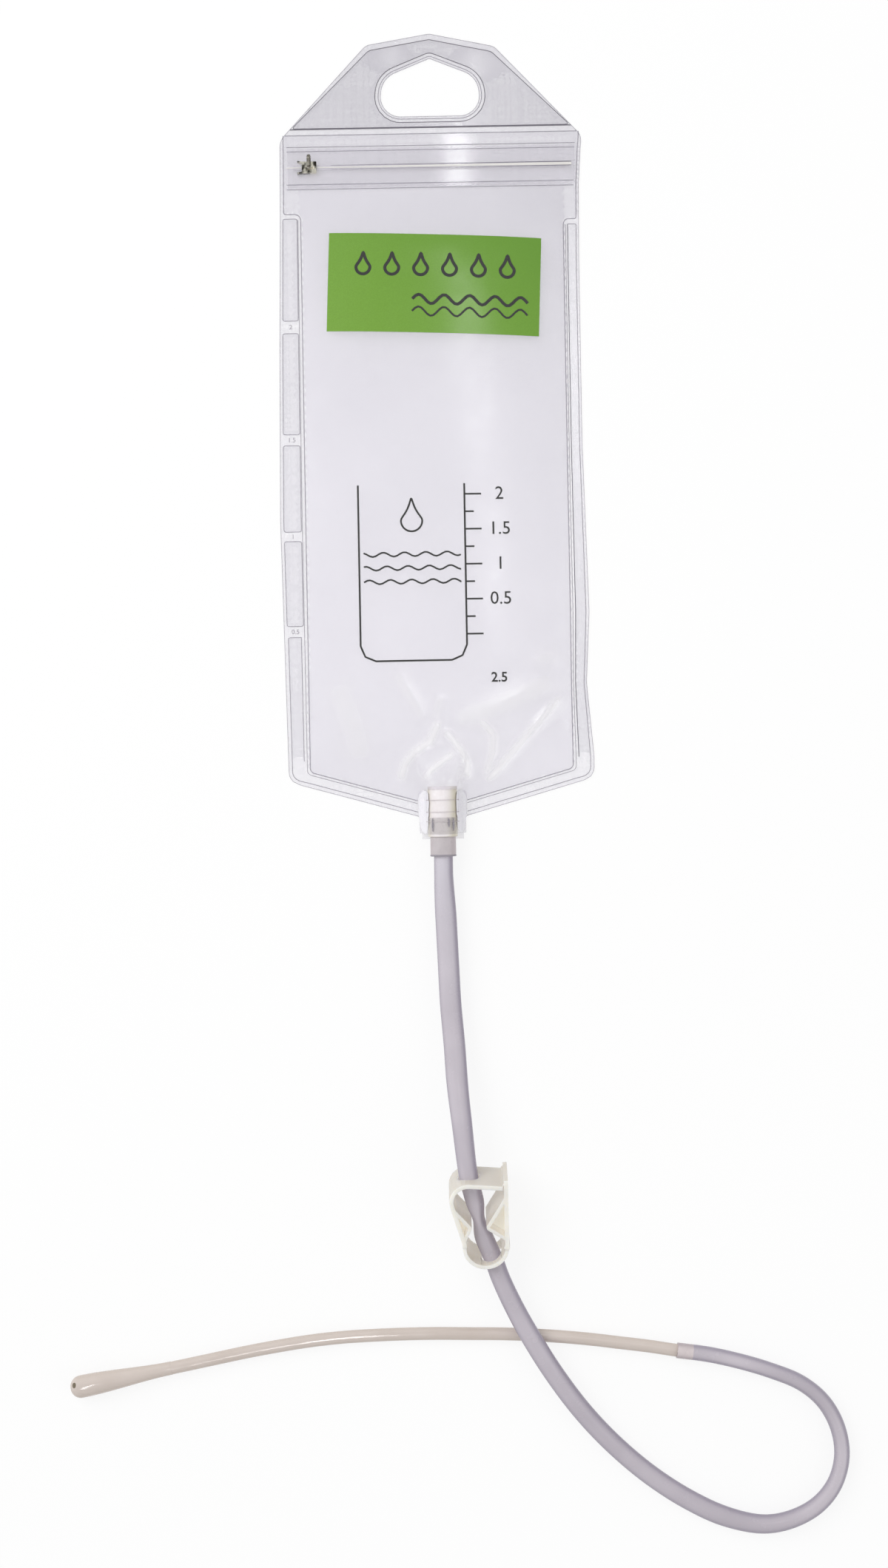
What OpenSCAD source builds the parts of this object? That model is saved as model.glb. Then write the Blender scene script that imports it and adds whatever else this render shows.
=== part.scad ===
// Oral drench bag for young livestock: a flat bag of clear film with a carrying handle, a slider zip,
// a welded port, a hose with a pinch clamp, and a flexible probe with a bulb tip.
// It lies on its back with the handle towards +Y, and the hose and probe lie loose below it.

/* [Bag] */
// Width of the bag over its side welds
bag_w = 200; // [170:1:230]
// Thickness of one sheet of film
film_t = 0.4; // [0.3:0.05:0.6]
// Length from the zip's rail down to the bottom corners
chamber_l = 406; // [340:1:460]
// Drop of the bottom edge from the corners to the port
bottom_drop = 24; // [14:1:36]
// Radius of the bottom corners
corner_r = 9; // [5:0.5:14]
// Height that the front film swells over the chamber
swell_h = 10; // [7:0.5:16]
// Width of the welded strip down each side
side_weld_w = 14; // [11:0.5:20]
// Width of the welded strip along the bottom edge
bottom_weld_w = 10; // [6:0.5:14]

/* [Handle] */
// Height from the handle's base weld to its shoulders
handle_h = 54; // [50:1:75]
// Rise of the top edge from the shoulders to the middle
handle_peak = 8; // [4:0.5:12]
// Width of the top edge between the shoulders
handle_top_w = 86; // [78:1:110]
// Distance from the handle's base weld down to the zip's rail
handle_to_rail = 26; // [22:1:40]
// Drop of the side corners below the base weld
side_corner_drop = 7; // [4:0.5:10]
// Width of the finger opening
opening_w = 68; // [60:1:76]
// Height of the finger opening at its middle
opening_h = 38; // [30:1:40]
// Distance from the base weld up to the finger opening
opening_base = 7.5; // [6:0.5:12]

/* [Welds] */
// Width of one weld bead
bead_w = 0.9; // [0.6:0.1:1.4]
// Height of one weld bead
bead_h = 0.25; // [0.15:0.05:0.4]
// Distance from the bag's edge in to the outer bead
bead_inset = 3.2; // [2:0.1:4]
// Distance between the two lines of the handle's base weld
base_band_w = 4; // [2.5:0.1:6]
// Height of the blank field for one fill mark
mark_h = 7; // [5:0.5:10]

/* [Zip] */
// Width of each flange, from the rail's middle to its outer edge
flange_w = 13; // [11:0.5:18]
// Width of the flange that is welded on the film
flange_lap = 5.5; // [4:0.5:7]
// Thickness of the flange
flange_t = 0.5; // [0.4:0.05:0.8]
// Width of the rail's head
rail_head_w = 3.4; // [3:0.1:4.4]
// Height of the rail above the flange
rail_h = 2.4; // [2.2:0.1:3.2]
// Thickness of the rail's head
rail_head_t = 1.1; // [0.9:0.05:1.2]
// Thickness of the web of each half of the rail
rail_web_t = 0.75; // [0.65:0.05:0.9]
// Distance from the bag's edge to the rail's end
rail_margin = 5; // [5:0.5:8]
// Length of the crushed stop at each end of the rail
stop_l = 4; // [3:0.5:6]

/* [Slider] */
// Length of the slider's body
slider_l = 9.6; // [8:0.2:14]
// Width of the slider's body
slider_w = 7.6; // [7.2:0.1:9]
// Thickness of the slider's top plate
slider_plate_t = 1; // [0.8:0.1:1.4]
// Length of the flared wings at the slider's rear
slider_wing_l = 3; // [2:0.1:4]
// Distance from the zip's end stop to the middle of the slider, in the shut position
slider_end_gap = 10.5; // [9:0.5:50]
// Length of the pull from its pivot to its tip
pull_l = 8; // [6:0.5:12]
// Width of the pull
pull_w = 2.6; // [2:0.1:2.8]
// Thickness of the pull
pull_t = 0.9; // [0.7:0.1:1.2]
// Angle of the pull above the bag where it rests
pull_rest_angle = 25; // [15:1:60]

/* [Port] */
// Outside diameter of the port tube
port_od = 19.2; // [17:0.1:24]
// Wall of the port tube
port_wall = 1.1; // [0.8:0.1:1.2]
// Length of the port tube above the tip of the bag's bottom edge
port_in = 20; // [14:0.5:26]
// Length of the port tube below that tip
port_out = 13; // [8:0.5:20]
// Thickness of the film collar round the port tube
collar_t = 0.5; // [0.3:0.05:0.8]
// Width of each weld wing of the collar
collar_wing_w = 5.3; // [3:0.1:8]
// Length of the sleeve below the port tube
sleeve_out = 13; // [8:0.5:20]
// Length of the connector's barrel in the port tube
barrel_l = 17; // [13:0.5:19]
// Wall of the connector
connector_wall = 1.3; // [1:0.1:1.5]
// Length of the connector's nipple in the hose
nipple_l = 14; // [10:0.5:18]

/* [Hose and probe] */
// Outside diameter of the hose
hose_od = 12.5; // [12:0.1:13]
// Wall of the hose
hose_wall = 1.9; // [1.6:0.1:2]
// Outside diameter of the probe
probe_od = 8.4; // [7.6:0.1:8.4]
// Wall of the probe
probe_wall = 1.4; // [1:0.1:1.8]
// Largest diameter of the probe's bulb
bulb_d = 14.7; // [12:0.1:15]
// Length of the thick part of the bulb
bulb_l = 27; // [20:0.5:40]
// Length of the bulb's taper
bulb_taper_l = 40; // [20:0.5:44]

/* [Clamp] */
// Depth of the clamp across the hose
clamp_depth = 30; // [24:0.5:32]
// Height of the strap above the hinge
strap_v = 44.5; // [42:0.5:50]
// Fall of the strap from the shoulder to its end
strap_fall = 3; // [1:0.25:4]
// Distance of the shoulder's corner from the hinge loop's middle
shoulder_u = 26; // [24:0.5:30]
// Radius of the shoulder's bend
shoulder_r = 11; // [8:0.5:13]
// Thickness of the arms and the strap
arm_t = 2.8; // [2.2:0.1:3.4]
// Thickness of the ribs of the jaws
jaw_t = 2.2; // [1.6:0.1:2.6]
// Thickness of the web that closes each jaw's hollow
web_t = 2; // [1.4:0.1:3]
// Depth of each jaw's hollow, from the clamp's front to the web
hollow_depth = 9; // [6:0.5:12]
// Gap that the shut jaws leave for the hose
jaw_gap = 9.6; // [9.4:0.1:11]
// Height of the jaws' tips above the hinge
jaw_v = 14; // [12:0.5:16]
// Mean radius of the hinge loop
loop_r = 13.8; // [13:0.1:16]
// Thickness of the hinge loop
loop_t = 2.4; // [1.8:0.1:2.8]
// Radius of the latch arm's pivot
foot_r = 1.9; // [1.7:0.1:2.4]

/* [Label] */
// Width of the printed panel
label_w = 140; // [100:1:150]
// Height of the printed panel
label_h = 65; // [40:1:90]
// Distance from the rail down to the printed panel
label_drop = 46.5; // [35:0.5:60]

/* [Hidden] */
$fn = 48;

// Clearances, and the overrun of every cut
running_gap = 0.06;
push_gap = 0.05;
slide_gap = 0.3;
hose_gap = 0.85;
cut = 2;

// Steps of an arc in an outline, and sides of a swept tube
arc_steps = 8;
tube_sides = 12;

// Lines across the bag, from the top of the handle down to the end of the sleeve
total_l = handle_peak + handle_h + handle_to_rail + chamber_l + bottom_drop + port_out + sleeve_out;
y_peak = total_l / 2;
y_shoulder = y_peak - handle_peak;
y_base = y_shoulder - handle_h;
y_rail = y_base - handle_to_rail;
y_corner = y_rail - chamber_l;
y_tip = y_corner - bottom_drop;
y_port_top = y_tip + port_in;
y_port_end = y_tip - port_out;
y_sleeve_end = y_port_end - sleeve_out;
half_w = bag_w / 2;
chamber_half = half_w - side_weld_w;
handle_cut = y_rail + flange_w - flange_lap;
chamber_cut = y_rail - flange_w + flange_lap;
chamber_flat = y_rail - flange_w;
two_films = 2 * film_t;

// Port: the tube lies on the back film, and each piece fits the one outside it
port_r = port_od / 2;
port_bore_r = port_r - port_wall;
port_z = film_t + push_gap + port_r;
collar_r = port_r + push_gap + collar_t;
tab_half = collar_r + collar_wing_w;
collar_setback = 2;
y_collar_top = y_port_top - collar_setback;
y_collar_end = y_port_end + collar_setback;
hose_r = hose_od / 2;
hose_bore_r = hose_r - hose_wall;
nipple_r = hose_bore_r * cos(180 / tube_sides) - push_gap;
barrel_r = port_bore_r - push_gap;
y_barrel_top = y_port_top - collar_setback;
y_nipple = y_barrel_top - barrel_l;
barrel_rim_share = 0.16;
barrel_ring_share = 0.1;
barrel_waist_share = 0.9;
barrel_ring_place_share = 0.62;
barb_rise = 0.5;

// Handle: radii of its corners, and places of its opening's corners
peak_r = 6;
shoulder_corner_r = 8;
side_corner_r = 12;
opening_low_r = 13;
opening_high_r = 15;
opening_peak_r = 3;
opening_shoulder_w_share = 0.92;
opening_shoulder_h_share = 0.67;
opening_bead_gap = 3.4;
opening_y = y_base + opening_base;

// Swelling of the chamber film, and the hump over the port's mouth
swell_power = 2.5;
swell_roundness = 0.75;
swell_ramp = 20;
port_ramp = 26;
port_spread = 1.2;
notch_ease = 0.6;
film_column_shares = [0.25, 0.4, 0.55, 0.7, 0.82, 0.92, 1];
port_column_shares = [0.3, 0.55, 0.72, 0.86];
corner_column_shares = [1, 0.6, 0.25, 0];
weld_row_shares = [0, 0.5];
film_row_shares = [
  0, 0.012, 0.03, 0.052, 0.08, 0.12, 0.18, 0.26, 0.36, 0.47, 0.58, 0.69, 0.79, 0.865, 0.915, 0.95, 0.975, 1
];

// Side pockets: the fill marks, as shares of the chamber's length below the rail, and the chamber's step
mark_shares = [0.255, 0.441, 0.6, 0.752];
pocket_drop = 30;
pocket_step_y = y_rail - pocket_drop;
pocket_step_r = 3;
chamber_corner_r = 2;
chamber_line = chamber_half + bead_w;
edge_line = half_w - bead_inset - bead_w / 2;

// Zip: heights of the flange and rail, and the bead that locks its halves
flange_z = two_films;
rail_z = flange_z + flange_t;
rail_top = rail_z + rail_h;
rail_l = bag_w - 2 * rail_margin;
rail_run = rail_l - 2 * stop_l;
half_gap = 0.05;
lock_r = 0.28;
lock_z = rail_z + (rail_h - rail_head_t) / 2;
stop_w = rail_head_w + rail_web_t;
stop_h = rail_h - rail_head_t;

// Slider: it hooks under the rail's head, and its crown carries the pull
slot_w = 2 * (half_gap + rail_web_t + slide_gap);
cavity_w = rail_head_w + 2 * slide_gap;
slider_low = rail_z + slide_gap;
lip_top = rail_top - rail_head_t - slide_gap;
cavity_top = rail_top + slide_gap;
slider_top = cavity_top + slider_plate_t;
wing_t = 1;
wing_flare = 0.5;
crown_r = 0.6;
eye_wall = 0.75;
eye_r = crown_r + running_gap + eye_wall;
crown_z = slider_top + eye_r + slide_gap;
crown_post = 1.3;
crown_gap = pull_w + 2 * slide_gap;
pull_tip_r = 1.3;
slider_park = rail_run / 2 - slider_end_gap;

// Hose: its route from the connector, through the clamp, and round to the probe
clamp_at = [23, -522];
clamp_tilt = 15;
clamp_rest_gap = 0.2;
hose_hole_r = hose_r + hose_gap;
loop_slot_half = 2.2;
clamp_z = clamp_rest_gap + (loop_r + loop_t / 2) * sin(clamp_tilt) + clamp_depth / 2 * cos(clamp_tilt);
jaw_u = -4.2;
pinch_gap = 0.7;
pinch = (jaw_gap / 2 - pinch_gap) / hose_r;
pinch_reach = 8;
pinch_bulge_share = 0.18;
strap_hole_uv = [-10.5, strap_v];
loop_hole_uv = [5, -loop_r];
pinch_point = clamp_point([jaw_u, jaw_v, 0]);
hose_down = [
  [0, y_nipple - push_gap, port_z], [0, y_sleeve_end, port_z], [0, -288, port_z], [1, -314, 10.2],
  [2, -342, 10.9], [3, -369, 12.3], [5, -396, 14.8], [6.5, -422, 18.2], [9, -447, 22.6]
];
hose_in_clamp = [
  clamp_point([strap_hole_uv.x, strap_hole_uv.y, 0]), clamp_point([-7, 28, 0]),
  clamp_point([-5.6, 21, 0]), clamp_point([jaw_u, jaw_v, 0]), clamp_point([-2.6, 7, 0.5]),
  clamp_point([-0.5, 0, 1]), clamp_point([loop_hole_uv.x, loop_hole_uv.y, 2])
];
hose_loop = [
  [32.5, -549, 15.6], [41, -568, 15.8], [52.5, -589.5, 15.6], [68, -615, 13.5], [86.5, -640.5, 10.5],
  [107, -663, 8], [130, -683, 6.8], [154, -699, 6.5], [178, -710.5, 6.5], [203, -716, 6.5],
  [222, -713, 6.5], [239, -704, 6.5], [250.5, -690, 6.5], [255.5, -672, 6.5], [253, -653, 6.5],
  [244, -636, 6.5], [229.5, -623.5, 6.5], [210, -615, 6.5], [189.5, -608.5, 6.5], [168.5, -603.5, 6.5],
  [148, -600.5, 6.5]
];
hose_route = concat(hose_down, hose_in_clamp, hose_loop);

// Probe: the axis of its bulb, and its route from inside the hose's end into the bulb's socket
bulb_from = [-185.5, -606.4, 5.7];
bulb_to = [-252, -618.4, 7.6];
bulb_plug_share = 0.12;
probe_route = [
  [165, -603, 6.5], [148, -600.5, 6.5], [129.5, -597.5, 6], [110, -595, 5.2], [90.5, -592.5, 4.6],
  [71, -590.5, 4.4], [52, -589, 4.4], [32, -588, 4.4], [11, -587.5, 4.4], [-10, -587, 4.4],
  [-31, -587, 4.4], [-52, -587.5, 4.4], [-73, -588.5, 4.4], [-94, -590.5, 4.4], [-115, -593.5, 4.4],
  [-136, -597, 4.6], [-157, -601, 5], [-178, -605, 5.5], bulb_from, between(bulb_from, bulb_to, bulb_plug_share)
];
probe_r = probe_od / 2;
probe_bore_r = probe_r - probe_wall;
bulb_r = bulb_d / 2;
bulb_socket_l = 9;
bulb_outlet_r = 2.4;
bulb_all_l = bulb_l + bulb_taper_l;
bulb_skin = 0.9;
bulb_mouth_r = 4.2;

// Clamp: centrelines of its arms and jaws, in its own plane with the hinge loop's middle at the origin
strap_end_u = 11.4;
latch_u = strap_end_u + 2 * slide_gap + arm_t / 2;
latch_v = strap_v + 2.4;
barb_w = 1.2;
barb_h = 3.4;
jaw_tip_r = 1.4;
jaw_setback_shares = [0.2, 0.37];
web_tip_share = 0.15;
left_jaw_shares = [1.9, 0.3];
right_jaw_shares = [2.5, 0.4];

// Label: it lies just over the chamber film
label_gap = 0.25;
label_t = 0.2;
label_columns = 32;
label_rows = 6;

// Vectors, arcs and outlines

function unit(v) = v / norm(v);
function flat(p) = [p.x, p.y];
function wrap_angle(a) = a > 180 ? a - 360 : a < -180 ? a + 360 : a;
function mirrored_x(points) = [for (i = [len(points) - 1:-1:0]) [-points[i].x, points[i].y, points[i].z]];

// The points of one corner [x, y, radius] between its neighbours a and b
function corner(p, a, b) = let (
  to_a = unit(flat(a) - flat(p)), to_b = unit(flat(b) - flat(p)), half = acos(to_a * to_b) / 2,
  reach = p.z / tan(half), centre = flat(p) + unit(to_a + to_b) * p.z / sin(half),
  first = flat(p) + to_a * reach - centre, last = flat(p) + to_b * reach - centre,
  start = atan2(first.y, first.x), sweep = wrap_angle(atan2(last.y, last.x) - start)
) [for (k = [0:arc_steps]) centre + p.z * [cos(start + sweep * k / arc_steps), sin(start + sweep * k / arc_steps)]];

// A closed outline whose corners [x, y, radius] are rounded
function rounded(v) = let (n = len(v)) [
  for (i = [0:n - 1]) each (v[i].z == 0 ? [flat(v[i])] : corner(v[i], v[(i + n - 1) % n], v[(i + 1) % n]))
];

// An open path whose inner corners are rounded
function rounded_path(v) = let (n = len(v)) [
  for (i = [0:n - 1]) each (v[i].z == 0 ? [flat(v[i])] : corner(v[i], v[i - 1], v[i + 1]))
];

// A closed outline, corners running anticlockwise, with every edge moved out by g
function grown(v, g) = let (n = len(v)) [
  for (i = [0:n - 1]) let (
    before = unit(flat(v[i]) - flat(v[(i + n - 1) % n])), after = unit(flat(v[(i + 1) % n]) - flat(v[i])),
    n0 = [before.y, -before.x], n1 = [after.y, -after.x],
    p = flat(v[i]) + (n0 + n1) * g / (1 + n0 * n1)
  ) [p.x, p.y, v[i].z == 0 ? 0 : max(v[i].z + g, g, -g)]
];

// The outline of a strip of thickness t along an open path
function path_normal(path, i) = let (
  last = len(path) - 1, before = unit(path[max(i, 1)] - path[max(i, 1) - 1]),
  after = unit(path[min(i, last - 1) + 1] - path[min(i, last - 1)]),
  n0 = [-before.y, before.x], n1 = [-after.y, after.x]
) (n0 + n1) / (1 + n0 * n1);
function strip(path, t) = let (last = len(path) - 1) concat(
  [for (i = [0:last]) path[i] + path_normal(path, i) * t / 2],
  [for (i = [last:-1:0]) path[i] - path_normal(path, i) * t / 2]
);

// Solids that are built from rows of points

module faced(points, faces) { polyhedron(points, [for (q = faces) each [[q[0], q[1], q[2]], [q[0], q[2], q[3]]]]); }

// A sheet between two grids of points, given row by row
module sheet(top, bottom) {
  rows = len(top);
  cols = len(top[0]);
  under = rows * cols;
  faced(concat([for (r = top) each r], [for (r = bottom) each r]), [
    for (j = [0:rows - 2], i = [0:cols - 2]) let (k = j * cols + i)
      each [[k, k + cols, k + cols + 1, k + 1],
            [under + k, under + k + 1, under + k + cols + 1, under + k + cols]],
    for (i = [0:cols - 2]) let (k = (rows - 1) * cols + i)
      each [[i, i + 1, under + i + 1, under + i], [k + 1, k, under + k, under + k + 1]],
    for (j = [0:rows - 2]) let (k = j * cols, m = k + cols - 1)
      each [[k + cols, k, under + k, under + k + cols], [m, m + cols, under + m + cols, under + m]]
  ]);
}

function tangent(path, i) = unit(path[min(i + 1, len(path) - 1)] - path[max(i - 1, 0)]);
function ring(p, t, across, along) = let (side = unit(cross(t, [0, 0, 1])), lift = cross(side, t)) [
  for (k = [0:tube_sides - 1]) let (a = 360 * k / tube_sides) p + side * across * cos(a) + lift * along * sin(a)
];

// A tube along a path; squeeze holds one pair of factors, across and along, for each point of the path
module tube(path, outer, inner, squeeze) {
  last = len(path) - 1;
  n = tube_sides;
  rings = [for (r = [outer, inner], i = [0:last])
    ring(path[i], tangent(path, i), r * squeeze[i].x, r * squeeze[i].y)];
  bore = (last + 1) * n;
  faced([for (r = rings) each r], [
    for (i = [0:last - 1], k = [0:n - 1]) let (a = i * n + k, b = i * n + (k + 1) % n)
      each [[a, b, b + n, a + n], [bore + b, bore + a, bore + a + n, bore + b + n]],
    for (k = [0:n - 1]) let (b = (k + 1) % n, end = last * n)
      each [[b, k, bore + k, bore + b], [end + k, end + b, bore + end + b, bore + end + k]]
  ]);
}

module block(low, high) { translate(low) cube(high - low); }

// Stands what is drawn along +Z at a point, aimed at another
module aimed(from, to) {
  d = unit(to - from);
  translate(from) rotate([0, acos(d.z), atan2(d.y, d.x)]) children();
}

// Turns a shape drawn along +Z so that it runs down the port's axis, from the line y
module down_port(y) { translate([0, y, port_z]) rotate([90, 0, 0]) children(); }

// Outlines of the bag

handle_right = [
  [half_w, y_base - side_corner_drop, side_corner_r],
  [handle_top_w / 2, y_shoulder, shoulder_corner_r]
];
handle_peak_point = [[0, y_peak, peak_r]];
function side_run(y) = [[half_w, y, 0]];
bag_outline = concat(
  [[-tab_half, y_collar_end, 0], [tab_half, y_collar_end, 0], [tab_half, y_tip, 0], [half_w, y_corner, corner_r]],
  handle_right, handle_peak_point, mirrored_x(handle_right),
  [[-half_w, y_corner, corner_r], [-tab_half, y_tip, 0]]
);
handle_outline = concat(
  side_run(handle_cut), handle_right, handle_peak_point, mirrored_x(handle_right),
  mirrored_x(side_run(handle_cut))
);
opening_shoulder = [opening_w / 2 * opening_shoulder_w_share, opening_y + opening_h * opening_shoulder_h_share];
opening_outline = [
  [-opening_w / 2, opening_y, opening_low_r], [opening_w / 2, opening_y, opening_low_r],
  [opening_shoulder.x, opening_shoulder.y, opening_high_r], [0, opening_y + opening_h, opening_peak_r],
  [-opening_shoulder.x, opening_shoulder.y, opening_high_r]
];

module bead_ring(outline, inset) {
  linear_extrude(bead_h) difference() {
    polygon(rounded(grown(outline, -inset)));
    polygon(rounded(grown(outline, -inset - bead_w)));
  }
}

// The bag's films

module back_film() {
  color("#E4E2EA") linear_extrude(film_t) difference() {
    polygon(rounded(bag_outline));
    polygon(rounded(opening_outline));
  }
}

module handle_film() {
  color("#DAD7E0") translate([0, 0, film_t]) linear_extrude(film_t) difference() {
    polygon(rounded(handle_outline));
    polygon(rounded(opening_outline));
  }
}

// Lower edge of the chamber film: a V to the port, with round corners and a notch for the collar
function v_edge(x) = y_tip + (abs(x) - tab_half) * bottom_drop / (half_w - tab_half);
function corner_lift(x) = let (d = max(abs(x) - half_w + corner_r, 0)) corner_r - sqrt(corner_r ^ 2 - d ^ 2);
function film_low(x) = abs(x) <= tab_half ? y_collar_top : v_edge(x) + corner_lift(x);
function weld_low(x) = abs(x) <= tab_half ? y_collar_top : v_edge(x) + bottom_weld_w;
function weld_line(x) = abs(x) <= tab_half ? y_collar_top + bottom_weld_w : v_edge(x) + bottom_weld_w;

// Height of the film's underside over the back film
function ramp(d, l) = d <= 0 ? 0 : 1 - exp(-d / l);
function swell(x, y) = let (u = abs(x) / chamber_half) u >= 1 ? 0 :
  swell_h * (1 - u ^ swell_power) ^ swell_roundness
  * ramp(y - weld_low(x), swell_ramp) * ramp(chamber_flat - y, swell_ramp);
function port_hump(x, y) = let (
  past = max(y - y_port_top - collar_setback, 0), fade = exp(-(past / port_ramp) ^ 2),
  wide = collar_r * (1 + port_spread * past / port_ramp), u = abs(x) / wide,
  edge = abs(x) <= tab_half ? 1 : ramp(y - weld_low(x), port_ramp)
) u > 1 ? 0 : (port_z - film_t + collar_r * sqrt(1 - u ^ 2)) * fade * edge;
function film_height(x, y) = film_t + max(swell(x, y), port_hump(x, y));

film_columns_right = concat(
  [for (s = port_column_shares) s * collar_r], [collar_r, tab_half, tab_half + notch_ease],
  [for (s = film_column_shares) s * chamber_half],
  [for (s = corner_column_shares) half_w - s * corner_r]
);
film_columns = concat([for (i = [len(film_columns_right) - 1:-1:0]) -film_columns_right[i]], [0], film_columns_right);
function film_point(x, y) = [x, y, film_height(x, y)];
function between(a, b, share) = a + (b - a) * share;
chamber_under = concat(
  [for (s = weld_row_shares) [for (x = film_columns) film_point(x, between(film_low(x), weld_line(x), s))]],
  [for (s = film_row_shares) [for (x = film_columns) film_point(x, between(weld_line(x), chamber_flat, s))]],
  [[for (x = film_columns) [x, chamber_cut, film_t]]]
);

module chamber_film() {
  color("#E6E4EC") sheet([for (r = chamber_under) [for (p = r) p + [0, 0, film_t]]], chamber_under);
}

module handle_weld() {
  band_half = edge_line - bead_w;
  color("#F0EEF5") translate([0, 0, two_films]) {
    intersection() {
      bead_ring(handle_outline, bead_inset);
      block([-half_w, y_base - side_corner_drop, -cut], [half_w, y_peak, cut]);
    }
    bead_ring(grown(opening_outline, opening_bead_gap + bead_w), 0);
    for (y = [y_base, y_base - base_band_w])
      block([-band_half, y - bead_w / 2, 0], [band_half, y + bead_w / 2, bead_h]);
  }
}

// Beads of the right half of the chamber: the outer edge, and the chamber's own line
edge_path = rounded_path([
  [edge_line, chamber_flat - bead_w, 0], [edge_line, v_edge(edge_line) + bead_inset, corner_r],
  [tab_half + bead_w, y_tip + bead_inset + bead_w, 0]
]);
chamber_path = rounded_path([
  [edge_line - 2 * bead_w, pocket_step_y, 0], [chamber_line, pocket_step_y, pocket_step_r],
  [chamber_line, v_edge(chamber_line) + bottom_weld_w - bead_w, chamber_corner_r],
  [tab_half + bead_w, y_tip + bottom_weld_w - bead_w, 0]
]);

module chamber_weld() {
  color("#F0EEF5") translate([0, 0, two_films]) linear_extrude(bead_h) {
    for (side = [0, 1]) mirror([side, 0]) {
      polygon(strip(edge_path, bead_w));
      polygon(strip(chamber_path, bead_w));
    }
    for (share = mark_shares, end = [-1, 1])
      translate([-edge_line + bead_w, y_rail - share * chamber_l + end * mark_h / 2 - bead_w / 2])
        square([edge_line - chamber_line - 2 * bead_w, bead_w]);
  }
}

// The zip

// One half of the rail in section: its flange, web and head, standing on the side towards +Y
module rail_half() {
  translate([half_gap, flange_z]) square([flange_w - half_gap, flange_t]);
  translate([half_gap, flange_z]) square([rail_web_t, flange_t + rail_h]);
  translate([half_gap, rail_top - rail_head_t]) square([rail_head_w / 2 - half_gap, rail_head_t]);
}

module along_rail() {
  translate([-rail_run / 2, y_rail, 0]) rotate([90, 0, 90]) linear_extrude(rail_run) children();
}

module zip_rail_upper() {
  color("#EFEDF2") along_rail() difference() {
    rail_half();
    translate([0, lock_z]) circle(lock_r + push_gap);
  }
}

module zip_rail_lower() {
  color("#EBE9EF") along_rail() {
    mirror([1, 0]) rail_half();
    translate([0, lock_z]) circle(lock_r);
  }
}

module zip_end_stops() {
  color("#F4F3F6") for (side = [0, 1]) mirror([side, 0, 0]) translate([rail_run / 2, y_rail, flange_z]) {
    block([0, -flange_w, 0], [stop_l, flange_w, flange_t]);
    block([0, -stop_w / 2, flange_t], [stop_l, stop_w / 2, flange_t + stop_h]);
  }
}

// The slider, drawn round the rail at the middle of its body

module at_slider() { translate([-slider_park, y_rail, 0]) children(); }

module slider_body() {
  l = slider_l / 2;
  w = slider_w / 2;
  color("#C9C6C0") at_slider() difference() {
    union() {
      block([-l, -w, slider_low], [l, w, slider_top]);
      for (side = [0, 1]) mirror([0, side, 0])
        translate([0, 0, slider_low]) linear_extrude(slider_top - slider_low) polygon([
          [-l, w - wing_t], [-l, w], [-l - slider_wing_l, w + wing_flare],
          [-l - slider_wing_l, w + wing_flare - wing_t]
        ]);
      for (side = [-1, 1]) translate([side * (crown_gap + crown_post) / 2, 0, 0])
        block([-crown_post / 2, -crown_r, slider_top], [crown_post / 2, crown_r, crown_z + crown_r]);
      translate([-crown_gap / 2 - crown_post / 2, 0, crown_z]) rotate([0, 90, 0])
        cylinder(h = crown_gap + crown_post, r = crown_r);
    }
    block([-l - cut, -cavity_w / 2, lip_top], [l + cut, cavity_w / 2, cavity_top]);
    block([-l - cut, -slot_w / 2, slider_low - cut], [l + cut, slot_w / 2, lip_top + slide_gap]);
  }
}

module slider_pull() {
  color("#B9B5AE") at_slider() translate([0, 0, crown_z]) rotate([pull_rest_angle, 0, 0]) difference() {
    union() {
      translate([-pull_w / 2, 0, 0]) rotate([0, 90, 0]) cylinder(h = pull_w, r = eye_r);
      block([-pull_w / 2, 0, -pull_t / 2], [pull_w / 2, pull_l - pull_tip_r, pull_t / 2]);
      translate([0, pull_l - pull_tip_r, -pull_t / 2]) cylinder(h = pull_t, r = pull_tip_r);
    }
    translate([-pull_w / 2 - cut, 0, 0]) rotate([0, 90, 0]) cylinder(h = pull_w + 2 * cut, r = crown_r + running_gap);
  }
}

// The port

module port_tube() {
  color("#EFEBDD") down_port(y_port_top) difference() {
    cylinder(h = y_port_top - y_port_end, r = port_r);
    translate([0, 0, -cut]) cylinder(h = y_port_top - y_port_end + 2 * cut, r = port_bore_r);
  }
}

module port_collar() {
  base = film_t - port_z;
  inside = port_r + push_gap;
  color("#F3F2F5") down_port(y_collar_top) linear_extrude(y_collar_top - y_collar_end) difference() {
    union() {
      circle(collar_r);
      translate([-collar_r, base]) square([2 * collar_r, -base]);
      translate([-tab_half, base]) square([2 * tab_half, collar_t]);
    }
    circle(inside);
    translate([-inside, base - cut]) square([2 * inside, cut - base]);
  }
}

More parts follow.
